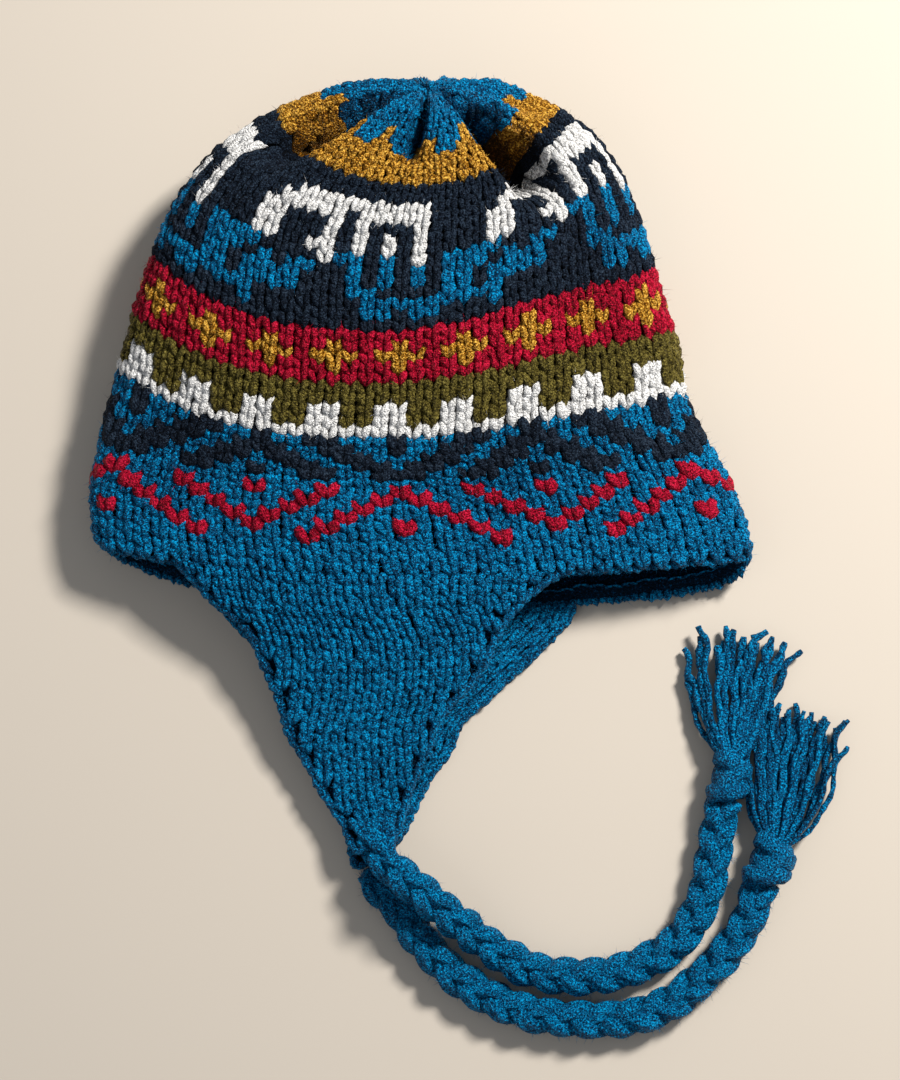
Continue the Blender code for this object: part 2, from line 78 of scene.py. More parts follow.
class YarnColour(Enum):
    """The yarns of the hat, in the order of the material slots of every knitted piece."""

    BLUE = 0
    NAVY = 1
    WHITE = 2
    OLIVE = 3
    RED = 4
    GOLD = 5


# Where a yarn's four colours stand between its darkest and its brightest fleck, how far a glinting
# yarn's brightest one comes down, and how bright its deepest gaps are beside its shade; the darkest
# flecks are painted shade between the fibres and the brightest are painted glints
DEEPEST_STOP, SHADE_STOP, BODY_STOP, GLINT_STOP = 0.04, 0.27, 0.54, 0.92
GLINT_STOP_PULL = 0.14
DEEPEST_SHARE = 0.2


@dataclass(frozen=True)
class Yarn:
    """One colour of soft plied yarn with a little shine.

    Args:
        name: the material's name.
        shade: the colour deep between the fibres, painted shade, linear red, green and blue.
        body: the colour of most of the fibres.
        glint: the colour of the fibres that catch the light, painted on as a highlight.
        glints: how much of the yarn has painted glints, from 0 to 1.
        roughness: how matt the fibres are.
        sheen: how strong the soft halo of loose fibres is.
        sheen_spread: how wide that halo is.
        shine: how strong the fibres' own gloss is.
        gloss_grey: the share of grey in that gloss, the rest being the glint's colour.
        fleck_scale: how many flecks there are to a metre.
        contrast: how far the flecks stand off the body colour.
        tone_and_shade_reach: how far a stitch's tone, its own random one with painted light and shade,
            moves it along its colours.
        fibre_scale: how many fibres cross a metre of the surface.
        fibre_depth: how deep the furrows between them are.
    """

    name: str
    shade: tuple[float, float, float]
    body: tuple[float, float, float]
    glint: tuple[float, float, float]
    glints: float = 0.4
    roughness: float = 0.5
    sheen: float = 0.05
    sheen_spread: float = 0.4
    shine: float = 0.30
    gloss_grey: float = 0.25
    fleck_scale: float = 1400
    contrast: float = 2.7
    tone_and_shade_reach: float = 0.13
    fibre_scale: float = 1500
    fibre_depth: float = 0.0025

    def material(self) -> bpy.types.Material:
        """The yarn's material, made once and shared by all its pieces.

        Returns:
            The material, which moves no point of the surface.
        """
        found = bpy.data.materials.get(self.name)
        if found:
            return found
        material = bpy.data.materials.new(self.name)
        material.use_nodes = True
        tree = material.node_tree
        shader = tree.nodes["Principled BSDF"]
        gloss = tuple(self.gloss_grey + (1 - self.gloss_grey) * value for value in self.glint)
        shader.inputs["Roughness"].default_value = self.roughness
        shader.inputs["Sheen Weight"].default_value = self.sheen
        shader.inputs["Sheen Roughness"].default_value = self.sheen_spread
        shader.inputs["Sheen Tint"].default_value = (*self.glint, 1)
        shader.inputs["Specular Tint"].default_value = (*gloss, 1)
        shader.inputs["Specular IOR Level"].default_value = self.shine
        place = tree.nodes.new("ShaderNodeTexCoord").outputs["Object"]
        self._colour(tree, place, shader.inputs["Base Color"])
        self._fibres(tree, place, shader.inputs["Normal"])
        return material

    def _colour(
        self, tree: bpy.types.NodeTree, place: bpy.types.NodeSocket, target: bpy.types.NodeSocket
    ) -> None:
        """Flecks of the yarn's colours, from painted shade between the fibres to painted glints, moved up
        or down by each stitch's tone.

        Args:
            tree: the material's nodes.
            place: gives each point's place on the hat.
            target: takes the colour.
        """
        nodes, links = tree.nodes, tree.links
        flecks = nodes.new("ShaderNodeTexNoise")
        flecks.inputs["Scale"].default_value = self.fleck_scale
        flecks.inputs["Detail"].default_value = 4
        flecks.inputs["Roughness"].default_value = 0.7
        links.new(place, flecks.inputs["Vector"])
        sharper = nodes.new("ShaderNodeMapRange")
        sharper.clamp = False
        sharper.inputs["From Min"].default_value = 0.5 - 0.5 / self.contrast
        sharper.inputs["From Max"].default_value = 0.5 + 0.5 / self.contrast
        links.new(flecks.outputs["Fac"], sharper.inputs["Value"])
        # The tone attribute holds each point's random tone with painted light and shade.
        tone = nodes.new("ShaderNodeAttribute")
        tone.attribute_name = "tone"
        sway = nodes.new("ShaderNodeMath")
        sway.operation = "MULTIPLY_ADD"
        sway.inputs[1].default_value = self.tone_and_shade_reach
        links.new(tone.outputs["Fac"], sway.inputs[0])
        links.new(sharper.outputs["Result"], sway.inputs[2])
        # Painted shade in the deepest gaps, then the body colour, then painted glints.
        colours = nodes.new("ShaderNodeValToRGB")
        stops = colours.color_ramp.elements
        stops[0].position = DEEPEST_STOP
        stops[0].color = (*(DEEPEST_SHARE * value for value in self.shade), 1)
        stops[1].position = GLINT_STOP - GLINT_STOP_PULL * self.glints
        stops[1].color = (*self.glint, 1)
        stops.new(SHADE_STOP).color = (*self.shade, 1)
        stops.new(BODY_STOP).color = (*self.body, 1)
        links.new(sway.outputs[0], colours.inputs["Fac"])
        links.new(colours.outputs["Color"], target)

    def _fibres(
        self, tree: bpy.types.NodeTree, place: bpy.types.NodeSocket, target: bpy.types.NodeSocket
    ) -> None:
        """The furrows between the fibres.

        Args:
            tree: the material's nodes.
            place: gives each point's place on the hat.
            target: takes the bumped normal.
        """
        fibres = tree.nodes.new("ShaderNodeTexNoise")
        fibres.inputs["Scale"].default_value = self.fibre_scale
        fibres.inputs["Detail"].default_value = 4
        tree.links.new(place, fibres.inputs["Vector"])
        bump = tree.nodes.new("ShaderNodeBump")
        bump.inputs["Strength"].default_value = 1.0
        bump.inputs["Distance"].default_value = self.fibre_depth
        tree.links.new(fibres.outputs["Fac"], bump.inputs["Height"])
        tree.links.new(bump.outputs["Normal"], target)


# Each yarn: its painted shade, its body colour and its painted glint, then how much glints and its
# roughness.
YARNS: dict[YarnColour, Yarn] = {
    YarnColour.BLUE: Yarn("blue_yarn", (0, 0.008, 0.028), (0, 0.078, 0.21), (0, 0.36, 0.74), 0.6, 0.5),
    YarnColour.NAVY: Yarn(
        "navy_yarn", (0.0005, 0.001, 0.003), (0.004, 0.009, 0.021), (0.03, 0.05, 0.08), 0.3, 0.85
    ),
    YarnColour.WHITE: Yarn("white_yarn", (0.42, 0.42, 0.42), (0.92, 0.92, 0.92), (0.99, 0.99, 0.99), 0.8),
    YarnColour.OLIVE: Yarn("olive_yarn", (0.012, 0.009, 0.002), (0.080, 0.062, 0.010), (0.23, 0.19, 0.045)),
    YarnColour.RED: Yarn("red_yarn", (0.05, 0, 0.003), (0.33, 0.001, 0.016), (0.68, 0.014, 0.06), 0.6),
    YarnColour.GOLD: Yarn(
        "gold_yarn", (0.05, 0.013, 0.0003), (0.36, 0.14, 0.004), (0.98, 0.58, 0.10), 0.8, 0.34
    ),
}


class Course(NamedTuple):
    """A measured course of knitting, as shares of the hat's half width, height and lying height."""

    row: float
    left: float
    right: float
    left_y: float
    right_y: float
    front_y: float
    back_y: float
    fold_z: float
    front_z: float
    back_z: float
    round: float


class Fold(NamedTuple):
    """A fold that runs into the gather: degrees round, half width, rows, depth as a share."""

    around: float
    spread: float
    first: float
    deepest: float
    last: float
    depth: float
    steep: float = 2.0


class Dent(NamedTuple):
    """A soft dent, or a swell where the depth is negative."""

    around: float
    row: float
    spread: float
    rows: float
    depth: float


class Line(NamedTuple):
    """A section line of a flap: its two ends and the height of its outer face, as shares."""

    left_x: float
    left_y: float
    right_x: float
    right_y: float
    z: float


class Stop(NamedTuple):
    """A point of a tie's route, in metres from the middle of the brim line, and the tie's girth."""

    x: float
    y: float
    z: float
    girth: float


class Gauge(NamedTuple):
    """How the wales lie at a row: the wale at the left side fold and the one at the right."""

    row: float
    left: float
    right: float


COURSES = (
    Course(0, -0.985, 1.000, 0.069, 0.048, -0.004, -0.056, 0.26, 0.50, 0.0, 0.0),
    Course(4, -1.000, 0.967, 0.149, 0.141, 0.079, 0.048, 0.27, 0.55, 0.0, 0.0),
    Course(8, -0.991, 0.916, 0.230, 0.220, 0.152, 0.145, 0.28, 0.61, 0.0, 0.0),
    Course(15, -0.934, 0.808, 0.392, 0.356, 0.265, 0.311, 0.30, 0.71, 0.0, 0.0),
    Course(20, -0.892, 0.778, 0.505, 0.473, 0.366, 0.428, 0.32, 0.79, 0.0, 0.0),
    Course(25, -0.841, 0.724, 0.628, 0.604, 0.463, 0.543, 0.34, 0.87, 0.0, 0.0),
    Course(32, -0.730, 0.633, 0.800, 0.795, 0.611, 0.707, 0.38, 0.96, 0.0, 0.05),
    Course(36, -0.610, 0.553, 0.893, 0.888, 0.696, 0.815, 0.42, 1.00, 0.0, 0.15),
    Course(39, -0.475, 0.458, 0.953, 0.948, 0.758, 0.905, 0.46, 1.00, 0.02, 0.30),
    Course(43, -0.320, 0.330, 0.990, 0.988, 0.818, 0.985, 0.56, 1.00, 0.10, 0.60),
    Course(47, -0.185, 0.215, 1.006, 1.008, 0.884, 1.020, 0.66, 0.99, 0.30, 0.85),
    Course(50, -0.080, 0.122, 1.000, 1.002, 0.932, 1.024, 0.72, 0.95, 0.52, 1.0),
    Course(53, -0.004, 0.043, 0.985, 0.985, 0.974, 0.996, 0.76, 0.80, 0.74, 1.0),
)
FOLDS = (
    Fold(31, 9, 36.5, 41, 53, 0.40, 3.2),
    Fold(60, 6, 42, 47, 53, 0.06),
    Fold(83, 5, 41, 47, 53, 0.24, 2.6),
    Fold(134, 9.5, 34, 41, 53, 0.56, 3.6),
    Fold(160, 8, 38, 45, 53, 0.10),
    Fold(205, 11, 37, 45, 53, 0.12),
    Fold(262, 12, 38, 46, 53, 0.16),
    Fold(318, 11, 37, 45, 53, 0.12),
    Fold(108, 12, 37, 44, 53, -0.06),
    Fold(156, 10, 37, 44, 53, -0.09),
    Fold(58, 13, 37, 43, 53, -0.04),
)
DENTS = (
    Dent(40, 12, 16, 6, 0.05),
    Dent(112, 9, 20, 6, 0.04),
    Dent(75, 5, 14, 5, -0.04),
    Dent(66, 28, 18, 6, -0.03),
    Dent(140, 24, 14, 7, 0.05),
)
GAUGES = (
    Gauge(0, -9.2, 26.3),
    Gauge(6, -9.5, 26.5),
    Gauge(15, -10.9, 27.0),
    Gauge(24, -11.1, 27.0),
    Gauge(33, -10.4, 26.6),
    Gauge(53, -10.4, 26.6),
)
UPPER_FLAP = (
    Line(-0.735, 0.00, 0.415, 0.00, 0.50),
    Line(-0.634, 0.10, 0.301, 0.10, 0.44),
    Line(-0.517, 0.21, 0.235, 0.20, 0.38),
    Line(-0.472, 0.33, 0.193, 0.31, 0.32),
    Line(-0.427, 0.44, 0.124, 0.41, 0.27),
    Line(-0.397, 0.56, 0.055, 0.51, 0.24),
    Line(-0.346, 0.66, 0.013, 0.63, 0.21),
    Line(-0.289, 0.78, -0.031, 0.74, 0.20),
    Line(-0.235, 0.87, -0.055, 0.83, 0.21),
    Line(-0.196, 0.97, -0.082, 0.92, 0.25),
)
UNDER_FLAP = (
    Line(-0.640, 0.09, 0.475, 0.09, 0.0),
    Line(-0.575, 0.18, 0.433, 0.165, 0.0),
    Line(-0.510, 0.24, 0.361, 0.25, 0.0),
    Line(-0.462, 0.33, 0.298, 0.315, 0.0),
    Line(-0.424, 0.43, 0.205, 0.42, 0.0),
    Line(-0.388, 0.54, 0.121, 0.51, 0.0),
    Line(-0.346, 0.63, 0.082, 0.62, 0.0),
    Line(-0.298, 0.73, 0.028, 0.70, 0.0),
    Line(-0.250, 0.835, -0.022, 0.82, 0.0),
    Line(-0.217, 0.93, -0.058, 0.90, 0.0),
    Line(-0.205, 1.03, -0.112, 0.985, 0.0),
)
UPPER_TIE = (
    Stop(-0.0158, -0.0976, 0.0106, 0.76),
    Stop(-0.0124, -0.1014, 0.0148, 0.90),
    Stop(-0.0064, -0.1063, 0.0172, 1.0),
    Stop(0.0016, -0.1125, 0.0164, 1.0),
    Stop(0.0096, -0.1192, 0.0134, 1.0),
    Stop(0.0218, -0.1288, 0.0088, 1.0),
    Stop(0.0355, -0.1373, 0.0062, 1.0),
    Stop(0.0500, -0.1413, 0.0062, 1.0),
    Stop(0.0640, -0.1410, 0.0062, 1.0),
    Stop(0.0770, -0.1375, 0.0062, 1.0),
    Stop(0.0880, -0.1316, 0.0062, 1.0),
    Stop(0.0965, -0.1225, 0.0062, 1.0),
    Stop(0.1020, -0.1110, 0.0062, 1.0),
    Stop(0.1046, -0.0986, 0.0062, 1.0),
    Stop(0.1070, -0.0868, 0.0064, 1.0),
    Stop(0.1087, -0.0793, 0.0066, 1.0),
)
UNDER_TIE = (
    Stop(-0.0184, -0.1044, 0.0050, 0.76),
    Stop(-0.0168, -0.1084, 0.0058, 0.92),
    Stop(-0.0123, -0.1128, 0.0062, 1.0),
    Stop(-0.0070, -0.1186, 0.0062, 1.0),
    Stop(-0.0002, -0.1283, 0.0062, 1.0),
    Stop(0.0084, -0.1378, 0.0062, 1.0),
    Stop(0.0180, -0.1456, 0.0062, 1.0),
    Stop(0.0298, -0.1514, 0.0062, 1.0),
    Stop(0.0441, -0.1551, 0.0062, 1.0),
    Stop(0.0605, -0.1566, 0.0062, 1.0),
    Stop(0.0755, -0.1554, 0.0062, 1.0),
    Stop(0.0880, -0.1506, 0.0062, 1.0),
    Stop(0.0990, -0.1426, 0.0062, 1.0),
    Stop(0.1083, -0.1331, 0.0062, 1.0),
    Stop(0.1155, -0.1231, 0.0062, 1.0),
    Stop(0.1200, -0.1128, 0.0064, 1.0),
    Stop(0.1217, -0.1085, 0.0066, 1.0),
)


class Bow(NamedTuple):
    """How many rows a course lies higher than its even place, at each of the bow's wales."""

    row: float
    rises: tuple[float, ...]


WALES = 80
BOW_WALES = (-10, -8, -4, 0, 4, 8, 12, 16, 20, 24, 27, 48)
BOWS = (
    Bow(9, (0,) * 12),
    Bow(15, (1.4, 1.2, 0.2, -0.4, -0.2, -0.1, 0.1, 0.7, 1.0, 1.0, 0.7, 0.7)),
    Bow(20, (1.5, 1.3, 0.5, 0.0, 0.0, 0.2, 0.8, 1.6, 1.9, 1.4, 1.0, 0.9)),
    Bow(25, (1.3, 1.2, 0.5, 0.0, 0.2, 0.3, 1.0, 2.0, 2.0, 1.2, 1.0, 0.9)),
    Bow(37, (0.8, 0.8, 0.3, 0.0, 0.0, 0.0, 0.2, 0.9, 1.8, 1.8, 1.4, 0.9)),
    Bow(44, (0,) * 12),
)


def bowed(wale: Array, row: Array) -> Array:
    """The row at which a stitch really lies, as the courses bow up at the cap's sides.

    Args:
        wale: the stitches' wales.
        row: their rows.

    Returns:
        Their rows, with the bow.
    """
    first = BOW_WALES[0]
    knots = BOW_WALES + (first + WALES,)
    place = (wale - first) % WALES + first
    lift = np.zeros(np.shape(row))
    before = BOWS[0]
    for bow in BOWS[1:]:
        share = (row - before.row) / (bow.row - before.row)
        low = np.interp(place, knots, before.rises + before.rises[:1])
        high = np.interp(place, knots, bow.rises + bow.rises[:1])
        lift = np.where((share >= 0) & (share < 1), blend(low, high, share), lift)
        before = bow
    return row + lift


def blend(low: Array, high: Array, share: Array) -> Array:
    """The value a share of the way from low to high."""
    return low + (high - low) * share


def unit(vectors: Array) -> Array:
    """The vectors' directions, each with a length of 1."""
    return vectors / np.maximum(np.linalg.norm(vectors, axis=-1, keepdims=True), 1e-12)


def run_along(points: Array) -> Array:
    """How far along a line of points each of them lies, from 0."""
    steps = np.linalg.norm(np.diff(points, axis=0), axis=1)
    return np.concatenate([[0], np.cumsum(steps)])


def over_floor(points: Array) -> Array:
    """The points, with those below the floor brought up to it."""
    points[..., 2] = np.maximum(points[..., 2], FLOOR_CLEAR)
    return points


def eased(knots: Sequence[float], values: Sequence[float], place: Array) -> Array:
    """A smooth curve through values at knots, without overshoot.

    Args:
        knots: where the values are known, rising.
        values: the values there.
        place: where the curve is read.

    Returns:
        The curve's values at place.
    """
    knots, values = np.asarray(knots, float), np.asarray(values, float)
    steps, rises = np.diff(knots), np.diff(values)
    slopes = rises / steps
    tangents = np.concatenate([slopes[:1], (slopes[:-1] + slopes[1:]) / 2, slopes[-1:]])
    flat = np.concatenate([[False], slopes[:-1] * slopes[1:] <= 0, [False]])
    tangents[flat] = 0
    i = np.clip(np.searchsorted(knots, place) - 1, 0, len(steps) - 1)
    t = (place - knots[i]) / steps[i]
    hermite = (
        values[i] * (1 + 2 * t) * (1 - t) ** 2
        + values[i + 1] * t**2 * (3 - 2 * t)
        + tangents[i] * steps[i] * t * (1 - t) ** 2
        - tangents[i + 1] * steps[i] * t**2 * (1 - t)
    )
    end = np.where(t < 0, values[0] + tangents[0] * (place - knots[0]), hermite)
    return np.where(t > 1, values[-1] + tangents[-1] * (place - knots[-1]), end)


def bell(distance: Array, spread: float) -> Array:
    """1 at no distance, falling smoothly to 0 past about two spreads."""
    return np.exp(-((distance / spread) ** 2))


def outward(surface: Callable[[Array, Array], Array], first: Array, second: Array) -> Array:
    """Unit normals of a surface of two arrays, by small steps along each.

    Args:
        surface: gives points for two arrays of one shape.
        first: the first of its two places.
        second: the second.

    Returns:
        One unit vector for each point.
    """
    along = surface(first + FIRST_STEP, second) - surface(first - FIRST_STEP, second)
    up = surface(first, second + SECOND_STEP) - surface(first, second - SECOND_STEP)
    return unit(np.cross(along, up))


@dataclass
class CapForm:
    """The lying cap's surface, the same as the solid's, and where its wales and rows lie on it.

    Args:
        brim_y: where the brim line lies in the frame.
    """

    brim_y: float
    hat_width: float = 0.238
    cap_height: float = 0.1767
    lying_height: float = 0.050
    wall: float = 0.004
    rows: int = 53
    wales: int = WALES
    floor_corner: float = 1.3
    front_bow: float = 1.4
    back_bow_left: float = 1.6
    back_bow_right: float = 0.7
    dome_sharpness: float = 0.75
    fold_ease: float = 1.5
    table_row_step: float = 0.25
    table_size: int = 640
    dense: int = 361
    table: Array = field(init=False)
    first_row: float = -1.0

    def __post_init__(self) -> None:
        """Works out the angle of every wale at every row once."""
        rows = np.arange(self.first_row, self.rows + 1.01, self.table_row_step)
        shares = np.arange(self.table_size + 1) / self.table_size
        self.table = np.stack([self._angles_of(shares, row) for row in rows])

    def course(self, row: Array) -> Course:
        """The course table read at any row.

        Args:
            row: the rows.

        Returns:
            A course whose columns are arrays.
        """
        rows = [c.row for c in COURSES]
        columns = (eased(rows, [c[k] for c in COURSES], row) for k in range(1, len(Course._fields)))
        return Course(row, *columns)

    def section(self, angle: Array, row: Array) -> Array:
        """Points of the smooth outer face.

        Args:
            angle: how far round the section they lie, 0 at the left side fold.
            row: their rows.

        Returns:
            The points.
        """
        c = self.course(row)
        half = self.hat_width / 2
        across, swell = -np.cos(angle), np.abs(np.sin(angle))
        front = np.sin(angle) >= 0
        middle, reach = half * (c.left + c.right) / 2, half * (c.right - c.left) / 2
        side_y = blend(c.left_y, c.right_y, (across + 1) / 2)
        back_bow = blend(self.back_bow_left, self.back_bow_right, (across + 1) / 2)
        bow = swell ** blend(np.where(front, self.front_bow, back_bow), 1.0, c.round)
        y = self.cap_height * blend(side_y, np.where(front, c.front_y, c.back_y), bow)
        dome = blend(c.fold_z, c.front_z, swell ** blend(self.dome_sharpness, 1.0, c.round))
        drop = c.fold_z - c.back_z
        corner = blend(self.floor_corner * self.lying_height * drop, reach, c.round)
        inset = np.maximum(0.0, 1 - reach * (1 - np.abs(across)) / np.maximum(corner, 1e-9))
        bed = c.back_z + drop * (1 - np.sqrt(np.maximum(0.0, 1 - inset**2)))
        height = self.lying_height * np.where(front, dome, bed)
        return np.stack([middle + reach * across, self.brim_y + y, height], -1)

    def creases(self, angle: Array, row: Array) -> Array:
        """How deep the folds and dents press in.

        Args:
            angle: how far round the section each place lies.
            row: its row.

        Returns:
            The depths in metres.
        """
        depth = np.zeros(np.shape(angle))

        def turned(around: float) -> Array:
            """Degrees from a place round the section, between -180 and 180."""
            return (np.degrees(angle) - around + 180) % 360 - 180

        for fold in FOLDS:
            rise = np.clip((row - fold.first) / (fold.deepest - fold.first), 0, 1)
            fall = np.clip((fold.last - row) / (fold.last - fold.deepest), 0, 1)
            along = np.sin(np.pi / 2 * np.minimum(rise, fall)) ** self.fold_ease
            across = np.abs(turned(fold.around) / fold.spread)
            depth = depth + fold.depth * along * np.exp(-(across**fold.steep))
        for dent in DENTS:
            near = bell(turned(dent.around), dent.spread) * bell(row - dent.row, dent.rows)
            depth = depth + dent.depth * near
        return depth * self.lying_height

    def point(self, angle: Array, row: Array, lift: Array = 0.0) -> Array:
        """Points of the wall with its folds.

        Args:
            angle: how far round the section they lie.
            row: their rows.
            lift: how far out from the outer face they lie.

        Returns:
            The points.
        """
        angle, row = np.broadcast_arrays(np.asarray(angle, float), np.asarray(row, float))
        press = self.creases(angle, row) - lift
        return self.section(angle, row) - outward(self.section, angle, row) * press[..., None]

    def gauge(self, row: Array) -> tuple[Array, Array]:
        """How the wales of a row lie between the side folds.

        Args:
            row: the rows.

        Returns:
            The wale at the left side fold and the one at the right.
        """
        rows = [g.row for g in GAUGES]
        return (
            np.interp(row, rows, [g.left for g in GAUGES]),
            np.interp(row, rows, [g.right for g in GAUGES]),
        )

    def _angles_of(self, shares: Array, row: float) -> Array:
        """The angles at which a row's wales lie.

        Args:
            shares: the wales, as shares of them all from the left side fold on.
            row: the row.

        Returns:
            Their angles.
        """
        left, right = self.gauge(row)
        front_share = (right - left) / self.wales
        angles, places = [], []
        for start, first, last in ((0.0, 0.0, front_share), (math.pi, front_share, 1.0)):
            angle = np.linspace(start, start + math.pi, self.dense)
            points = self.section(angle, np.full(self.dense, row))
            length = run_along(points)
            angles.append(angle)
            places.append(blend(first, last, length / length[-1]))
        return np.interp(shares, np.concatenate(places), np.concatenate(angles))

    def angle_of(self, wale: Array, row: Array) -> Array:
        """How far round the section a wale lies.

        Args:
            wale: the wales.
            row: the rows at which they are looked up.

        Returns:
            Their angles.
        """
        share = (wale - self.gauge(row)[0]) / self.wales
        turns = np.floor(share)
        across = (share - turns) * self.table_size
        down = np.clip((row - self.first_row) / self.table_row_step, 0, len(self.table) - 1.001)
        i, j = across.astype(int), down.astype(int)
        u, v = across - i, down - j
        k = np.minimum(i + 1, self.table_size)
        low = blend(self.table[j, i], self.table[j, k], u)
        high = blend(self.table[j + 1, i], self.table[j + 1, k], u)
        return blend(low, high, v) + turns * 2 * math.pi

    def knit(self, wale: Array, row: Array, lift: Array) -> Array:
        """Points of the knitting.

        Args:
            wale: their wales.
            row: their rows.
            lift: how far out from the outer face they lie.

        Returns:
            The points.
        """
        wale, row = np.broadcast_arrays(wale, row)
        level = bowed(wale, row)
        return self.point(self.angle_of(wale, level), level, lift)


@dataclass
class FlapForm:
    """An ear flap's surface, the same as the solid's, with its wales and rows.

    Args:
        cap: the cap that it hangs from.
        lines: the flap's section lines, from the brim to the tip.
        join: the angles round the brim that it spans, in degrees.
        turned: whether the flap shows its inside, as the under one does.
    """

    cap: CapForm
    lines: Sequence[Line]
    join: tuple[float, float]
    turned: bool
    length: float = 0.100
    gap: float = 0.0003
    bow: float = 0.05
    edge_drop: float = 0.12
    join_reach: float = 0.40
    row_pitch: float = 0.0036
    wale_pitch: float = 0.0058
    measured_across: int = 17
    shift: float = field(init=False)
    row_count: int = field(init=False)

    def __post_init__(self) -> None:
        """Lines the flap's wales up with the brim's and counts its rows."""
        angles = np.radians(np.asarray(self.join))
        brim_line = int(-self.cap.first_row / self.cap.table_row_step)
        wales = np.interp(angles, self.cap.table[brim_line], np.arange(self.cap.table_size + 1))
        wales = wales / self.cap.table_size * self.cap.wales + self.cap.gauge(0.0)[0]
        middle_wale = float(wales.mean())
        self.shift = math.ceil(middle_wale) - middle_wale
        middle = self.face(np.full(200, 0.5), np.linspace(0, 1, 200))
        self.row_count = int(run_along(middle)[-1] / self.row_pitch)

    def face(self, across: Array, down: Array) -> Array:
        """Points of the outer face.

        Args:
            across: shares of the way from the left edge to the right.
            down: shares of the way from the brim to the tip.

        Returns:
            The points.
        """
        across, down = np.broadcast_arrays(np.asarray(across, float), np.asarray(down, float))
        half = self.cap.hat_width / 2
        top = -self.gap / (self.cap.cap_height / self.cap.rows)
        place = down * (len(self.lines) - 1)
        knots = np.arange(len(self.lines))
        left_x, left_y, right_x, right_y, z = (
            eased(knots, [line[k] for line in self.lines], place) for k in range(len(Line._fields))
        )
        bulge = 1 - (2 * across - 1) ** 2
        x = half * blend(left_x, right_x, across)
        y = -self.length * (blend(left_y, right_y, across) + self.bow * bulge * (1 - down))
        height = self.cap.lying_height * z * (1 - self.edge_drop * (1 - bulge) * np.clip(1 - down, 0, 1))
        low = self.cap.wall * 2 + self.gap
        height = np.where(z > 0, np.maximum(height, low), 0.0)
        face = np.stack([x, self.cap.brim_y + y, height], -1)
        angle = np.radians(blend(self.join[0], self.join[1], across))
        brim = self.cap.point(angle, np.full(np.shape(angle), top))
        first = self.lines[0]
        start_x = half * blend(first.left_x, first.right_x, across)
        start_y = -self.length * (blend(first.left_y, first.right_y, across) + self.bow * bulge)
        start_z = self.cap.lying_height * first.z * (1 - self.edge_drop * (1 - bulge))
        start = np.stack([start_x, self.cap.brim_y + start_y, start_z + np.zeros(np.shape(across))], -1)
        hold = np.clip(1 - down / self.join_reach, 0, 1) ** 2
        return face + hold[..., None] * (brim - start)

    def width_at(self, down: Array) -> Array:
        """The flap's width.

        Args:
            down: shares of the way from the brim to the tip.

        Returns:
            Its width there, in metres.
        """
        down = np.atleast_1d(np.asarray(down, float))
        across = np.linspace(0, 1, self.measured_across)[:, None]
        points = self.face(across, np.clip(down, 0, 1)[None, :])
        return np.linalg.norm(np.diff(points, axis=0), axis=-1).sum(0)

    def lifted(self, across: Array, down: Array, lift: Array) -> Array:
        """Points over the flap's upper side, whichever side of the knitting that is.

        Args:
            across: shares of the way from the left edge to the right.
            down: shares of the way from the brim to the tip.
            lift: how far above that side they lie.

        Returns:
            The points.
        """
        normal = outward(self.face, across, down)
        normal = normal * np.sign(normal[..., 2:3])
        depth = lift + (self.cap.wall if self.turned else 0.0)
        return self.face(across, down) + normal * depth[..., None]


class Laid(NamedTuple):
    """A crowd of copies of one small shape, ready for a mesh: points, faces, tones and yarns."""

    points: Array
    corners: Array
    face_starts: Array
    tones: Array
    yarns: Array


def joined(crowds: Sequence[Laid]) -> Laid:
    """Several crowds as one.

    Args:
        crowds: the crowds, in order.

    Returns:
        The one crowd.
    """
    points, corners, starts, tones, yarns = [], [], [], [], []
    vertex, corner = 0, 0
    for crowd in crowds:
        points.append(crowd.points)
        corners.append(crowd.corners + vertex)
        starts.append(crowd.face_starts + corner)
        tones.append(crowd.tones)
        yarns.append(crowd.yarns)
        vertex += len(crowd.points)
        corner += len(crowd.corners)
    return Laid(*(np.concatenate(part) for part in (points, corners, starts, tones, yarns)))


def crowd_of(points: Array, faces: Sequence[tuple[int, ...]], tones: Array, yarns: Array) -> Laid:
    """Points and faces of any size as a crowd.

    Args:
        points: the points, brought up to the floor where they are below it.
        faces: each face's points.
        tones: each point's tone.
        yarns: each face's yarn.

    Returns:
        The crowd.
    """
    lengths = np.array([len(f) for f in faces])
    starts = np.concatenate([[0], np.cumsum(lengths)[:-1]])
    corners = np.fromiter((v for f in faces for v in f), int)
    return Laid(over_floor(points), corners, starts, tones, yarns)


def from_lowest(face: Sequence[int]) -> tuple[int, ...]:
    """The face's points in the same turn, from the one with the lowest number on."""
    start = list(face).index(min(face))
    return tuple(face[start:]) + tuple(face[:start])


def band_faces(rows: int, sides: int, first: int = 0) -> list[tuple[int, int, int, int]]:
    """The faces between closed rings of points, one ring after another.

    Args:
        rows: how many rings there are.
        sides: how many points each has.
        first: the first ring's first point.

    Returns:
        The faces.
    """
    faces = []
    for low in range(first, first + (rows - 1) * sides, sides):
        for j in range(sides):
            k = (j + 1) % sides
            faces.append((low + j, low + k, low + sides + k, low + sides + j))
    return faces


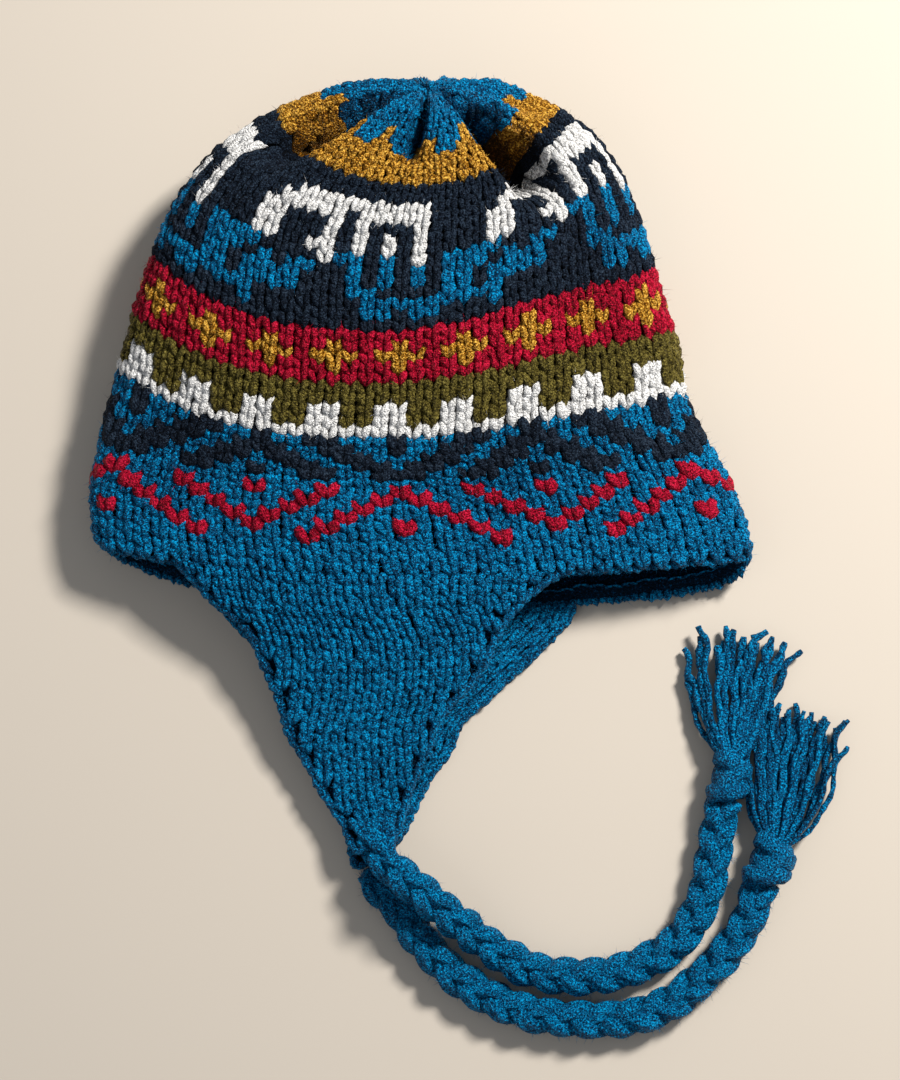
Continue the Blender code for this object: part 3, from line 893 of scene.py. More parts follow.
def mesh_piece(name: str, crowd: Laid) -> bpy.types.Object:
    """A smooth mesh object with the hat's yarns as its materials.

    Args:
        name: the piece's name.
        crowd: its points, faces, tones and yarns.

    Returns:
        The object, at the origin.
    """
    mesh = bpy.data.meshes.new(name)
    mesh.vertices.add(len(crowd.points))
    mesh.vertices.foreach_set("co", crowd.points.astype(np.float32).ravel())
    mesh.loops.add(len(crowd.corners))
    mesh.loops.foreach_set("vertex_index", crowd.corners.astype(np.int32))
    mesh.polygons.add(len(crowd.face_starts))
    mesh.polygons.foreach_set("loop_start", crowd.face_starts.astype(np.int32))
    used = np.unique(crowd.yarns)
    slots = np.zeros(len(YarnColour), np.int32)
    for slot, yarn in enumerate(used):
        mesh.materials.append(YARNS[YarnColour(int(yarn))].material())
        slots[yarn] = slot
    mesh.polygons.foreach_set("material_index", slots[crowd.yarns])
    mesh.update(calc_edges=True)
    mesh.validate()
    mesh.polygons.foreach_set("use_smooth", np.full(len(mesh.polygons), True))
    # Each point's tone: its random tone with painted light and shade on it.
    tone = mesh.attributes.new("tone", "FLOAT", "POINT")
    tone.data.foreach_set("value", crowd.tones.astype(np.float32))
    piece = bpy.data.objects.new(name, mesh)
    bpy.context.collection.objects.link(piece)
    return piece


def deselect_all() -> None:
    """Leaves nothing selected, as the operators act on all that is."""
    bpy.ops.object.select_all(action="DESELECT")


def dress(piece: bpy.types.Object, slot: str, *nodes: str) -> bpy.types.Object:
    """Makes a finished piece ride on the hat and stand for its nodes, which it hides.

    Args:
        piece: the finished piece.
        slot: the record's material slot; not used.
        nodes: the solids that it stands for.

    Returns:
        The piece.
    """
    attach(piece, BODY)
    if nodes:
        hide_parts(*nodes)
    LOG.info("%s: %d faces", piece.name, len(piece.data.polygons))
    return piece


class Ring(NamedTuple):
    """A ring of a yarn form.

    Args:
        across, along: its middle, in stitches.
        up: how high its middle stands, in metres.
        wide: half its width, in stitches.
        high: half its height, in metres.
    """

    across: float
    along: float
    up: float
    wide: float
    high: float


@dataclass
class YarnShape:
    """One small yarn form, modelled once and copied all over the knitting.

    Args:
        name: what it is.
        rings: its rings, from the first pole to the last.
        sides: the points of each ring.
        girth_spread: how much the copies' thickness differs, as a share.
        across_spread: how far a copy leans across, in stitches.
        along_spread: how far it slips along, in stitches.
        up_spread: how far it stands out or in, in metres.
        waist: the place along a copy about which a proud one grows.
        painted_top_light: how much brighter a copy's top is than its sides, as painted light and shade.
        painted_light_level: the share of its height at which it has no painted light or shade and its tone
            is its own.
        proud_girth, proud_wide, proud_long: how much a proud copy's thickness, width and length
            grow beside its size.
        proud_lift: how far a copy of twice the size would stand out, in metres.
    """

    name: str
    rings: Sequence[Ring]
    sides: int = 6
    girth_spread: float = 0.05
    across_spread: float = 0.045
    along_spread: float = 0.08
    up_spread: float = 0.00022
    waist: float = 0.8
    painted_top_light: float = 1.1
    painted_light_level: float = 0.35
    proud_girth: float = 0.8
    proud_wide: float = 0.7
    proud_long: float = 1.3
    proud_lift: float = 0.0020
    points: Array = field(init=False)
    middles: Array = field(init=False)
    faces: list[tuple[int, ...]] = field(init=False)

    def __post_init__(self) -> None:
        """Models the form from a ball and keeps its points and faces."""
        deselect_all()
        count = len(self.rings) - 1
        bpy.ops.mesh.primitive_uv_sphere_add(segments=self.sides, ring_count=count, radius=1.0)
        ball = bpy.context.active_object
        ball.name = self.name
        bpy.ops.object.mode_set(mode="EDIT")
        bpy.ops.mesh.select_all(action="SELECT")
        bpy.ops.transform.rotate(value=math.pi / 2, orient_axis="X", center_override=(0, 0, 0))
        bpy.ops.object.mode_set(mode="OBJECT")
        along = np.array([v.co.y for v in ball.data.vertices])
        order = np.sort(np.unique(along.round(4)))
        self.middles = np.zeros((len(along), 3))
        for place, ring in zip(order, self.rings):
            belongs = np.flatnonzero(np.abs(along - place) < 1e-3)
            radius = math.sqrt(max(1e-9, 1 - place**2))
            self.middles[belongs] = ring[:3]
            for index in belongs:
                v = ball.data.vertices[index].co
                turned_x, turned_z = (v.x / radius, v.z / radius) if len(belongs) > 1 else (0.0, 0.0)
                v.x = ring.across + turned_x * ring.wide
                v.y = ring.along
                v.z = ring.up + turned_z * ring.high
        self.points = np.array([v.co[:] for v in ball.data.vertices])
        self.faces = sorted(from_lowest(p.vertices) for p in ball.data.polygons)
        centre = self.points.mean(0)
        volume = 0.0
        for face in self.faces:
            a, b = self.points[face[0]] - centre, self.points[face[1]] - centre
            for third in face[2:]:
                c = self.points[third] - centre
                volume += float(np.dot(a, np.cross(b, c)))
                b = c
        if volume < 0:
            self.faces = [tuple(reversed(face)) for face in self.faces]
        bpy.data.objects.remove(ball)

    def lay(
        self,
        surface: Surface,
        wale: Array,
        row: Array,
        pitch: Array,
        yarns: Array,
        rng: np.random.Generator,
        mirror: bool = False,
        proud: Array | None = None,
        shade: Array | None = None,
        rough: float = 0.14,
    ) -> Laid:
        """Copies of the form on a surface.

        Args:
            surface: gives points for wales, rows and lifts.
            wale: each copy's wale.
            row: each copy's row.
            pitch: each copy's width, in wales.
            yarns: each copy's yarn.
            rng: the seeded source of the small differences between copies.
            mirror: whether the copies are mirror images.
            proud: how much bigger each copy is, as a share, and how much it stands out.
            shade: how much darker each copy is, as painted shade.
            rough: how uneven the yarn is, as a share of its thickness.

        Returns:
            The crowd of copies.
        """
        count, size = len(wale), len(self.points)
        shape = np.repeat(self.points[None], count, axis=0)
        middle = self.middles[None]
        swell = 1 + rough * rng.standard_normal((count, size))[..., None]
        girth = 1 + self.girth_spread * rng.standard_normal((count, 1, 1))
        grown = np.zeros((count, 1)) if proud is None else proud[:, None]
        girth = girth * (1 + self.proud_girth * grown[..., None])
        shape = middle + (shape - middle) * swell * girth
        height = (self.points[:, 2] - middle[0, :, 2]) / max(ring.high for ring in self.rings)
        x = shape[..., 0] * (-1 if mirror else 1)
        lean = 1 + (shape[..., 1] - self.waist)
        x = x + self.across_spread * rng.standard_normal((count, 1)) * lean
        y = shape[..., 1] + self.along_spread * rng.standard_normal((count, 1))
        z = shape[..., 2] + self.up_spread * rng.standard_normal((count, 1))
        x = x * (1 + self.proud_wide * grown)
        y = self.waist + (y - self.waist) * (1 + self.proud_long * grown)
        z = z + self.proud_lift * grown
        points = over_floor(surface(wale[:, None] + x * pitch[:, None], row[:, None] + y, z))
        tones = np.repeat(rng.random((count, 1)) - 0.5, size, axis=1)
        # Painted light and shade: each copy's top is lighter and its foot darker, over its random tone.
        tones = tones + self.painted_top_light * (height[None] - self.painted_light_level)
        # Painted shade: copies that lie in folds are darker.
        if shade is not None:
            tones = tones - shade[:, None]
        faces = [tuple(reversed(f)) for f in self.faces] if mirror else self.faces
        corners = np.concatenate([np.array(f) for f in faces])
        lengths = np.array([len(f) for f in faces])
        starts = np.concatenate([[0], np.cumsum(lengths)[:-1]])
        all_corners = (corners[None] + np.arange(count)[:, None] * size).ravel()
        all_starts = (starts[None] + np.arange(count)[:, None] * len(corners)).ravel()
        return Laid(
            points.reshape(-1, 3), all_corners, all_starts, tones.ravel(), np.repeat(yarns, len(faces))
        )

    def pairs(
        self,
        surface: Surface,
        wale: Array,
        row: Array,
        pitch: Array,
        yarns: Array,
        rng: np.random.Generator,
        proud: Array | None = None,
        shade: Array | None = None,
    ) -> Laid:
        """The form and then its mirror image in every place, as the two legs of stitches.

        Args:
            surface: gives points for wales, rows and lifts.
            wale: each stitch's wale.
            row: each stitch's row.
            pitch: each stitch's width, in wales.
            yarns: each stitch's yarn.
            rng: the seeded source of the small differences between legs.
            proud: how much bigger each stitch is, as a share.
            shade: how much darker each stitch is, as painted shade.

        Returns:
            The crowd of legs.
        """
        halves = (False, True)
        laid = [self.lay(surface, wale, row, pitch, yarns, rng, half, proud, shade) for half in halves]
        return joined(laid)


LEG_RINGS = (
    Ring(0.03, -0.22, -0.0020, 0.0, 0.0),
    Ring(0.09, 0.02, -0.0013, 0.17, 0.0010),
    Ring(0.18, 0.40, -0.0007, 0.26, 0.0014),
    Ring(0.26, 0.85, -0.0005, 0.285, 0.0015),
    Ring(0.30, 1.25, -0.0009, 0.255, 0.0013),
    Ring(0.31, 1.60, -0.0016, 0.17, 0.0009),
    Ring(0.30, 1.85, -0.0022, 0.0, 0.0),
)
PURL_RINGS = (
    Ring(-0.50, 0.0, 0.0, 0.0, 0.0),
    Ring(-0.36, 0.10, 0.0005, 0.22, 0.0007),
    Ring(-0.18, 0.22, 0.0008, 0.27, 0.0010),
    Ring(0.0, 0.26, 0.0009, 0.28, 0.0011),
    Ring(0.18, 0.22, 0.0008, 0.27, 0.0010),
    Ring(0.36, 0.10, 0.0005, 0.22, 0.0007),
    Ring(0.50, 0.0, 0.0, 0.0, 0.0),
)


class Chart:
    """The hat's colour chart: a repeat of 16 wales."""

    repeat = 16
    zigzag_first, zigzag_last, zigzag_rise = 4, 13, 4
    white_row, olive_first, red_first, navy_first, crown_first = 15, 16, 20, 25, 39
    tooth_rows = 2
    tooth_repeat, tooth_wales = 4, (0, 3)
    flower_middle, flower_repeat = 22, 4
    point_repeat, point_tip, point_depth, point_shift = 5, 41.2, 4.4, 2.0
    figure_top = 36
    # The band with animals, from its top row down: W white, b blue, a dot for the navy ground
    figures = (
        "WWWWWWWWWW......",
        "WWWW.WWWWW.....W",
        "...W.W...W....WW",
        "...W.W.W.W....WW",
        "..WW.W.W.W....WW",
        "...Wbb.b.W.bbbb.",
        ".bb..b.b.b.bbb.b",
        "bb...b.b.b.bb.bb",
        "bb...bb....bb.bb",
        "......bbbbbbbbb.",
        "......bb.bb...b.",
    )
    letters = {"W": YarnColour.WHITE, "b": YarnColour.BLUE, ".": YarnColour.NAVY}

    def zigzag(self, wale: Array, row: Array) -> Array:
        """Two nested zigzags, a red one below and its broader navy mirror image above.

        Args:
            wale: the stitches' wales.
            row: their rows.

        Returns:
            The numbers of their yarns, blue for the ground.
        """
        half, rise = self.repeat // 2, self.zigzag_rise
        away = np.abs((wale + half) % self.repeat - half)

        def zig(step: Array) -> Array:
            """Whether a stitch is in the zigzag, by its row from the zigzag's outer edge."""
            line = ((away == step) | (away == step + rise)) & (step >= 0) & (step <= rise)
            ends = ((step == 0) & (away == half)) | ((step == rise) & (away == 0))
            return line | ends | ((step == -1) & (away == rise - 1))

        chosen = np.where(zig(row - self.zigzag_first), YarnColour.RED.value, YarnColour.BLUE.value)
        navy = zig(self.zigzag_last - row) | zig(self.zigzag_last + 1 - row)
        above = row > self.zigzag_last - rise
        return np.where(navy & above, YarnColour.NAVY.value, chosen)

    def crown(self, wale: Array, row: Array) -> Array:
        """Gold with blue points that run down into it, then all blue.

        Args:
            wale: the stitches' wales.
            row: their rows.

        Returns:
            The numbers of their yarns.
        """
        half = self.point_repeat / 2
        into = np.abs((wale + self.point_shift) % self.point_repeat - half) / half
        edge = self.point_tip + self.point_depth * into
        return np.where(row > edge, YarnColour.BLUE.value, YarnColour.GOLD.value)

    def colour(self, wale: Array, row: Array) -> Array:
        """The yarn of each stitch of the cap.

        Args:
            wale: the stitches' wales.
            row: their rows.

        Returns:
            The numbers of their yarns.
        """
        wale = np.asarray(wale, float)
        near = np.round(wale) % self.repeat
        found = self.zigzag(near, row)
        found = np.where(row >= self.white_row, YarnColour.WHITE.value, found)
        gap = ~np.isin(near % self.tooth_repeat, self.tooth_wales)
        olive = gap | (row >= self.olive_first + self.tooth_rows)
        found = np.where(olive & (row >= self.olive_first), YarnColour.OLIVE.value, found)
        found = np.where(row >= self.red_first, YarnColour.RED.value, found)
        stem = (near % self.flower_repeat == 0) & (np.abs(row - self.flower_middle) <= 1)
        petals = (near % 2 == 1) & (row == self.flower_middle)
        found = np.where(stem | petals, YarnColour.GOLD.value, found)
        found = np.where(row >= self.navy_first, YarnColour.NAVY.value, found)
        for step, letters in enumerate(self.figures):
            line = np.array([self.letters[letter].value for letter in letters])
            found = np.where(row == self.figure_top - step, line[near.astype(int)], found)
        return np.where(row >= self.crown_first, self.crown(wale, row), found)


@dataclass
class LooseFibres:
    """A halo of fine loose fibres that stand out of finished yarn, each a fine four-faced spike.

    Args:
        name: the piece's name.
        slot: the record's material slot.
        count: how many places are tried; none that face down carries a fibre.
        long: the longest fibre's length.
        seed: the seed of their places and directions.
        radius: half a fibre's thickness at its root.
        shortest: the shortest fibre beside the longest.
        upright: how straight out the fibres stand.
        stray: how far they lean at random.
        lowest: how far down a face may look and still carry a fibre.
    """

    name: str
    slot: str
    count: int
    long: float
    seed: int
    radius: float = 0.00010
    shortest: float = 0.3
    upright: float = 0.55
    stray: float = 0.6
    lowest: float = -0.25

    def build(self, crowds: Sequence[Laid]) -> bpy.types.Object:
        """Makes the fibres as one piece.

        Args:
            crowds: the yarn that the fibres leave.

        Returns:
            The piece.
        """
        rng = np.random.default_rng(self.seed)
        crowd = joined(crowds)
        face = rng.integers(0, len(crowd.face_starts), self.count)
        first = crowd.face_starts[face]
        a, b, c = (crowd.points[crowd.corners[first + k]] for k in range(3))
        normal = unit(np.cross(b - a, c - a))
        keep = normal[:, 2] > self.lowest
        root, normal, yarns = ((a + b + c) / 3)[keep], normal[keep], crowd.yarns[face][keep]
        count = len(root)
        lean = rng.standard_normal((count, 3))
        way = unit(normal * self.upright + lean * self.stray)
        length = self.long * (self.shortest + (1 - self.shortest) * rng.random(count))[:, None]
        side = unit(np.cross(way, lean[:, ::-1]))
        other = np.cross(way, side)
        turns = np.linspace(0, 2 * math.pi, 3, endpoint=False)
        corners = [root + self.radius * (side * math.cos(t) + other * math.sin(t)) for t in turns]
        points = over_floor(np.stack([*corners, root + way * length], 1))
        faces = np.array([(0, 1, 3), (1, 2, 3), (2, 0, 3), (0, 2, 1)])
        every = (faces.ravel()[None] + np.arange(count)[:, None] * 4).ravel()
        starts = np.arange(count * 4) * 3
        # Painted sheen: every fibre is lighter than the yarn it leaves, as if it caught the light.
        tones = np.repeat(0.6 + 1.2 * rng.random(count), 4)
        spikes = Laid(points.reshape(-1, 3), every, starts, tones, np.repeat(yarns, 4))
        return dress(mesh_piece(self.name, spikes), self.slot)


class Decrease(NamedTuple):
    """How many stitches the rows before a row have."""

    before: int
    stitches: int


STITCH_COUNTS = (
    Decrease(40, 80),
    Decrease(42, 72),
    Decrease(44, 64),
    Decrease(46, 54),
    Decrease(48, 44),
    Decrease(50, 34),
    Decrease(51, 24),
    Decrease(52, 16),
    Decrease(53, 10),
)


@dataclass
class KnittedCap:
    """The cap: a thin wall of knitting with a pair of yarn legs for every stitch.

    Args:
        form: its surface.
        chart: its colours.
        leg: one leg of a stitch.
        purl: the bump of a stitch's other side.
        seed: the seed of the small differences between stitches.
        wall_out, wall_in: how far the wall's outer and inner faces lie from the solid's.
        wall_sides: the wall's points round the cap.
        inside_rows: the rows whose inside is modelled, up to but not the last.
        zigzag_proud: how much bigger the zigzags' stitches are, as a share.
        shade_depth: the fold depth that darkens a stitch by one tone of painted shade.
        shade_most: the most tones of painted shade that a fold gives.
        rim_radius, rim_row, rim_row_pitch: the brim edge's radius, its middle and a row's height.
        rim_first, rim_turn: where on a leg the edge starts to turn, and how far for each row.
    """

    form: CapForm
    chart: Chart
    leg: YarnShape
    purl: YarnShape
    seed: int = 11
    wall_out: float = -0.0021
    wall_in: float = 0.0006
    wall_sides: int = 160
    inside_rows: tuple[int, int] = (1, 14)
    zigzag_proud: float = 0.20
    shade_depth: float = 0.004
    shade_most: float = 3.6
    rim_radius: float = 0.0017
    rim_row: float = 0.35
    rim_row_pitch: float = 0.0033
    rim_first: float = 0.4
    rim_turn: float = 1.5

    def stitches(self, first: int, last: int) -> Laid:
        """The stitches of some rows.

        Args:
            first: the first row.
            last: the row after the last.

        Returns:
            Their yarn legs.
        """
        rng = np.random.default_rng(self.seed + first)
        wales, rows, pitches = [], [], []
        for row in range(first, last):
            count = self.count_at(row)
            wale = np.arange(count) * self.form.wales / count
            wales.append(wale)
            rows.append(np.full(count, float(row)))
            pitches.append(np.full(count, self.form.wales / count))
        wale, row, pitch = (np.concatenate(a) for a in (wales, rows, pitches))
        yarns = self.chart.colour(wale, row)
        figure = (row < self.chart.white_row) & (yarns != YarnColour.BLUE.value)
        proud = np.where(figure, self.zigzag_proud, 0.0)
        # Painted shade: stitches are darker the deeper the folds and dents press them in.
        press = self.form.creases(self.form.angle_of(wale, row), row)
        shade = np.clip(press / self.shade_depth, 0, self.shade_most)
        return self.leg.pairs(self.form.knit, wale, row, pitch, yarns, rng, proud, shade)

    def edge(self) -> Laid:
        """The knitted edge that closes the brim.

        Returns:
            A chain of yarn legs, turned round the wall's rim.
        """
        rng = np.random.default_rng(self.seed + 200)
        wale = np.arange(self.form.wales) + 0.5

        def rim(w: Array, r: Array, lift: Array) -> Array:
            """Points round the rim, where a stitch's rows turn from the outside in.

            Args:
                w: wales round the brim.
                r: rows, from the outside in.
                lift: how far out they lie.

            Returns:
                The points.
            """
            turn = (r - self.rim_first) * self.rim_turn
            out = self.rim_radius + lift
            row = self.rim_row - np.cos(turn) * out / self.rim_row_pitch
            return self.form.knit(w, row, -self.form.wall / 2 - np.sin(turn) * out)

        zero, blue = np.zeros(len(wale)), np.full(len(wale), YarnColour.BLUE.value)
        return self.leg.pairs(rim, wale, zero, np.ones(len(wale)), blue, rng)

    def count_at(self, row: int) -> int:
        """How many stitches a row has; the crown's rows lose some towards the gather."""
        return next(count for before, count in STITCH_COUNTS if row < before)

    def inside(self) -> Laid:
        """The inside near the mouth.

        Returns:
            Its purl bumps.
        """
        rng = np.random.default_rng(self.seed + 100)
        first, last = self.inside_rows
        wale = np.concatenate([np.arange(self.form.wales) + 0.5 * (r % 2) for r in range(first, last)])
        row = np.repeat(np.arange(first, last), self.form.wales).astype(float)
        yarns = self.chart.colour(np.floor(wale), row)

        def inner(w: Array, r: Array, lift: Array) -> Array:
            """Points of the inner face, where a lift stands inwards."""
            return self.form.knit(w, r, -self.form.wall + self.wall_in - lift)

        return self.purl.lay(inner, wale, row, np.ones(len(wale)), yarns, rng, mirror=True)

    def wall(self) -> Laid:
        """The thin wall behind the stitches, closed at the gather and round the brim edge.

        Returns:
            The wall, whose outer points come first and then its inner ones.
        """
        rows = np.concatenate([np.arange(0.2, self.form.rows - 0.5, 1.0), [self.form.rows - 0.2]])
        sides = self.wall_sides
        wale = np.arange(sides) * self.form.wales / sides
        grid_wale, grid_row = np.meshgrid(wale, rows)
        outer = self.form.knit(grid_wale, grid_row, np.full(grid_wale.shape, self.wall_out))
        thin = np.full(grid_wale.shape, -self.form.wall + self.wall_in)
        inner = self.form.knit(grid_wale, grid_row, thin)
        tips = (outer[-1].mean(0)[None], inner[-1].mean(0)[None])
        points = np.concatenate([outer.reshape(-1, 3), inner.reshape(-1, 3), *tips])
        base, outer_tip, inner_tip = outer[..., 0].size, len(points) - 2, len(points) - 1
        top = base - sides
        faces = band_faces(len(rows), sides)
        yarns = list(self.chart.colour(grid_wale, np.floor(grid_row))[:-1].ravel())
        faces += [tuple(base + v for v in reversed(face)) for face in faces]
        yarns += yarns
        for j in range(sides):
            k = (j + 1) % sides
            faces += [(base + j, base + k, k, j), (top + j, top + k, outer_tip)]
            faces += [(base + top + k, base + top + j, inner_tip)]
            yarns += [YarnColour.BLUE.value] * 3
        # The wall is coloured in painted shade, darker than its yarns.
        return crowd_of(points, faces, np.full(len(points), WALL_SHADE_TONE), np.array(yarns))

    def build(self) -> None:
        """Makes the cap's pieces and gives them the cap's places in the frame."""
        chart = self.chart
        bands = (
            ("brim_and_zigzag", 0, chart.white_row - 1),
            ("white_olive_and_red_bands", chart.white_row - 1, chart.navy_first),
            ("animal_band", chart.navy_first, chart.crown_first),
        )
        knitted = []
        for name, first, last in bands:
            knitted.append(self.stitches(first, last))
            dress(mesh_piece(name, knitted[-1]), "patterned_knit", "cap_body")
        top = self.stitches(chart.crown_first, self.form.rows)
        dress(mesh_piece("crown_stitches", top), "crown_knit", "crown")
        LooseFibres("cap_fuzz", "patterned_knit", 46000, 0.0046, self.seed + 300).build(knitted)
        LooseFibres("crown_fuzz", "crown_knit", 8000, 0.0032, self.seed + 301).build([top])
        dress(mesh_piece("cap_wall", self.wall()), "patterned_knit", "cap_body", "crown")
        dress(mesh_piece("cap_inside", self.inside()), "patterned_knit", "cap_body")
        dress(mesh_piece("brim_edge", self.edge()), "patterned_knit", "cap_body")


@dataclass
class EarFlap:
    """An ear flap: a thin slab with stitches on its upper side and a chain of yarn round its edge.

    Args:
        name: the solid that it stands for.
        form: its surface.
        leg: one leg of a stitch.
        rests_on: what it lies on besides the floor; not used.
        seed: the seed of the small differences between stitches.
        margin: the edge that the stitches leave free at each side, in stitches.
        wall_out, wall_in: how far the slab's upper and lower faces lie from the solid's.
        slab_down, slab_across: the slab's points down and across.
        rim_side, rim_tip: the points of the edge's line along a side and round the tip.
        rim_depth: how deep that line lies, as a share of the wall.
        chain_pitch: how long a link of the edge's chain is.
        chain_wide: how wide it is.
        chain_out: how far out it stands.
        ahead: how far the line is looked at each way for its direction.
    """

    name: str
    form: FlapForm
    leg: YarnShape
    rests_on: Sequence[str]
    seed: int
    margin: float = 0.45
    wall_out: float = -0.0020
    wall_in: float = 0.0003
    slab_down: int = 40
    slab_across: int = 25
    rim_side: int = 80
    rim_tip: int = 20
    rim_depth: float = 0.45
    chain_pitch: float = 0.0042
    chain_wide: float = 0.0036
    chain_out: float = 0.0006
    ahead: float = 0.002

    def stitches(self) -> Laid:
        """The upper side, in straight wales that the flap's two edges cut off.

        Returns:
            The yarn legs of its stitches.
        """
        rng = np.random.default_rng(self.seed)
        form = self.form
        wales, rows = [], []
        for row in range(form.row_count):
            width = float(form.width_at((row + 0.5) / form.row_count)[0])
            room = width / form.wale_pitch / 2 - self.margin
            reach = math.ceil(room) + 1
            offsets = np.arange(-reach, reach + 1) + form.shift
            offsets = offsets[np.abs(offsets) <= room]
            if form.turned:
                offsets = np.arange(0, max(1, int(2 * room))) + 0.5
            wales.append(offsets)
            rows.append(np.full(len(offsets), float(row)))
        wale, row = np.concatenate(wales), np.concatenate(rows)
        knots = np.linspace(0, 1, 41)
        widths = form.width_at(knots)

        def laid(w: Array, r: Array, lift: Array) -> Array:
            """Points of the upper side.

            Args:
                w: wales from the stitches' middle line.
                r: rows, from the tip up.
                lift: how far out they lie.

            Returns:
                The points.
            """
            down = np.clip((form.row_count - 1 - r) / form.row_count, -0.02, 1.0)
            width = np.interp(down, knots, widths)
            across = 0.5 + w * form.wale_pitch / width
            if form.turned:
                across = 1.0 - (w + 0.1) * form.wale_pitch / width
            return form.lifted(np.clip(across, 0.0, 1.0), down, lift)

        blue = np.full(len(wale), YarnColour.BLUE.value)
        return self.leg.pairs(laid, wale, form.row_count - 2 - row, np.ones(len(wale)), blue, rng)

    def edge(self) -> Laid:
        """The edge round the two sides and the tip.

        Returns:
            A chain of slanting yarn legs.
        """
        rng = np.random.default_rng(self.seed + 1)
        form, side, tip = self.form, self.rim_side, self.rim_tip
        down = np.concatenate([np.linspace(0, 1, side), np.ones(tip), np.linspace(1, 0, side)])
        across = np.concatenate([np.zeros(side), np.linspace(0, 1, tip), np.ones(side)])
        rim = form.lifted(across, down, np.full(len(down), -form.cap.wall * self.rim_depth))
        length = run_along(rim)
        count = int(length[-1] / self.chain_pitch)

        def at(place: Array) -> Array:
            """Points of the edge's line at lengths along it."""
            place = np.clip(place, 0, length[-1])
            return np.stack([np.interp(place, length, rim[:, k]) for k in range(3)], -1)

        def chain(w: Array, r: Array, lift: Array) -> Array:
            """Points round the edge's line.

            Args:
                w: link widths up from the line.
                r: links along the edge.
                lift: how far out they lie.

            Returns:
                The points.
            """
            place = np.clip(r * self.chain_pitch, 0, length[-1])
            way = unit(at(place + self.ahead) - at(place - self.ahead))
            out = unit(np.stack([way[..., 1], -way[..., 0], np.zeros(way.shape[:-1])], -1))
            up = np.cross(way, out)
            aside, raised = (w * self.chain_wide)[..., None], (lift + self.chain_out)[..., None]
            return at(place) + up * aside + out * raised

        row = np.arange(count, dtype=float)
        blue = np.full(count, YarnColour.BLUE.value)
        return self.leg.pairs(chain, np.zeros(count), row, np.ones(count), blue, rng)

    def flat_size(self) -> tuple[float, float, float]:
        """How large the flap is when laid flat, measured along its middle layer.

        Returns:
            Its width, its length and its area.
        """
        down, across = np.linspace(0, 1, 60), np.linspace(0, 1, 40)
        grid_across, grid_down = np.meshgrid(across, down)
        face = self.form.lifted(grid_across, grid_down, np.full(grid_down.shape, -self.form.cap.wall / 2))
        over = np.linalg.norm(np.diff(face, axis=1), axis=2)
        along = np.linalg.norm(np.diff(face, axis=0), axis=2)
        sides = np.cross(face[1:, :-1] - face[:-1, :-1], face[:-1, 1:] - face[:-1, :-1])
        others = np.cross(face[1:, :-1] - face[1:, 1:], face[:-1, 1:] - face[1:, 1:])
        area = (np.linalg.norm(sides, axis=2).sum() + np.linalg.norm(others, axis=2).sum()) / 2
        width, length = over.sum(axis=1).max(), along.sum(axis=0).max()
        return round(float(width), 4), round(float(length), 4), round(float(area), 6)

    def slab(self) -> Laid:
        """The thin slab behind the stitches.

        Returns:
            The slab, whose upper points come first and then its lower ones.
        """
        form = self.form
        down, across = np.linspace(0, 1, self.slab_down), np.linspace(0, 1, self.slab_across)
        grid_across, grid_down = np.meshgrid(across, down)
        low = -form.cap.wall + self.wall_in
        top = form.lifted(grid_across, grid_down, np.full(grid_down.shape, self.wall_out))
        bottom = form.lifted(grid_across, grid_down, np.full(grid_down.shape, low))
        points = np.concatenate([top.reshape(-1, 3), bottom.reshape(-1, 3)])
        rows, columns = grid_down.shape
        base, faces = rows * columns, []
        for i in range(rows - 1):
            for j in range(columns - 1):
                a, b = i * columns + j, i * columns + j + 1
                c, d = b + columns, a + columns
                faces += [(a, d, c, b), (base + b, base + c, base + d, base + a)]
        ring = list(range(columns))
        ring += [i * columns + columns - 1 for i in range(1, rows)]
        ring += [(rows - 1) * columns + j for j in range(columns - 2, -1, -1)]
        ring += [i * columns for i in range(rows - 2, 0, -1)]
        for a, b in zip(ring, ring[1:] + ring[:1]):
            faces.append((a, b, base + b, base + a))
        blue = np.full(len(faces), YarnColour.BLUE.value)
        # The slab is coloured in painted shade, darker than its yarn.
        return crowd_of(points, faces, np.full(len(points), WALL_SHADE_TONE), blue)

    def build(self) -> None:
        """Makes the flap's pieces and logs its size when laid flat."""
        wall = dress(mesh_piece(self.name + "_wall", self.slab()), "blue_knit", self.name)
        stitches = self.stitches()
        knit = dress(mesh_piece(self.name + "_stitches", stitches), "blue_knit", self.name)
        halo = LooseFibres(self.name + "_fuzz", "blue_knit", 6000, 0.0038, self.seed + 300)
        loose = halo.build([stitches])
        edge = dress(mesh_piece(self.name + "_edge", self.edge()), "blue_knit", self.name)
        width, length, area = self.flat_size()
        LOG.info("%s: %.3f m wide, %.3f m long, %.5f m2 when flat", self.name, width, length, area)


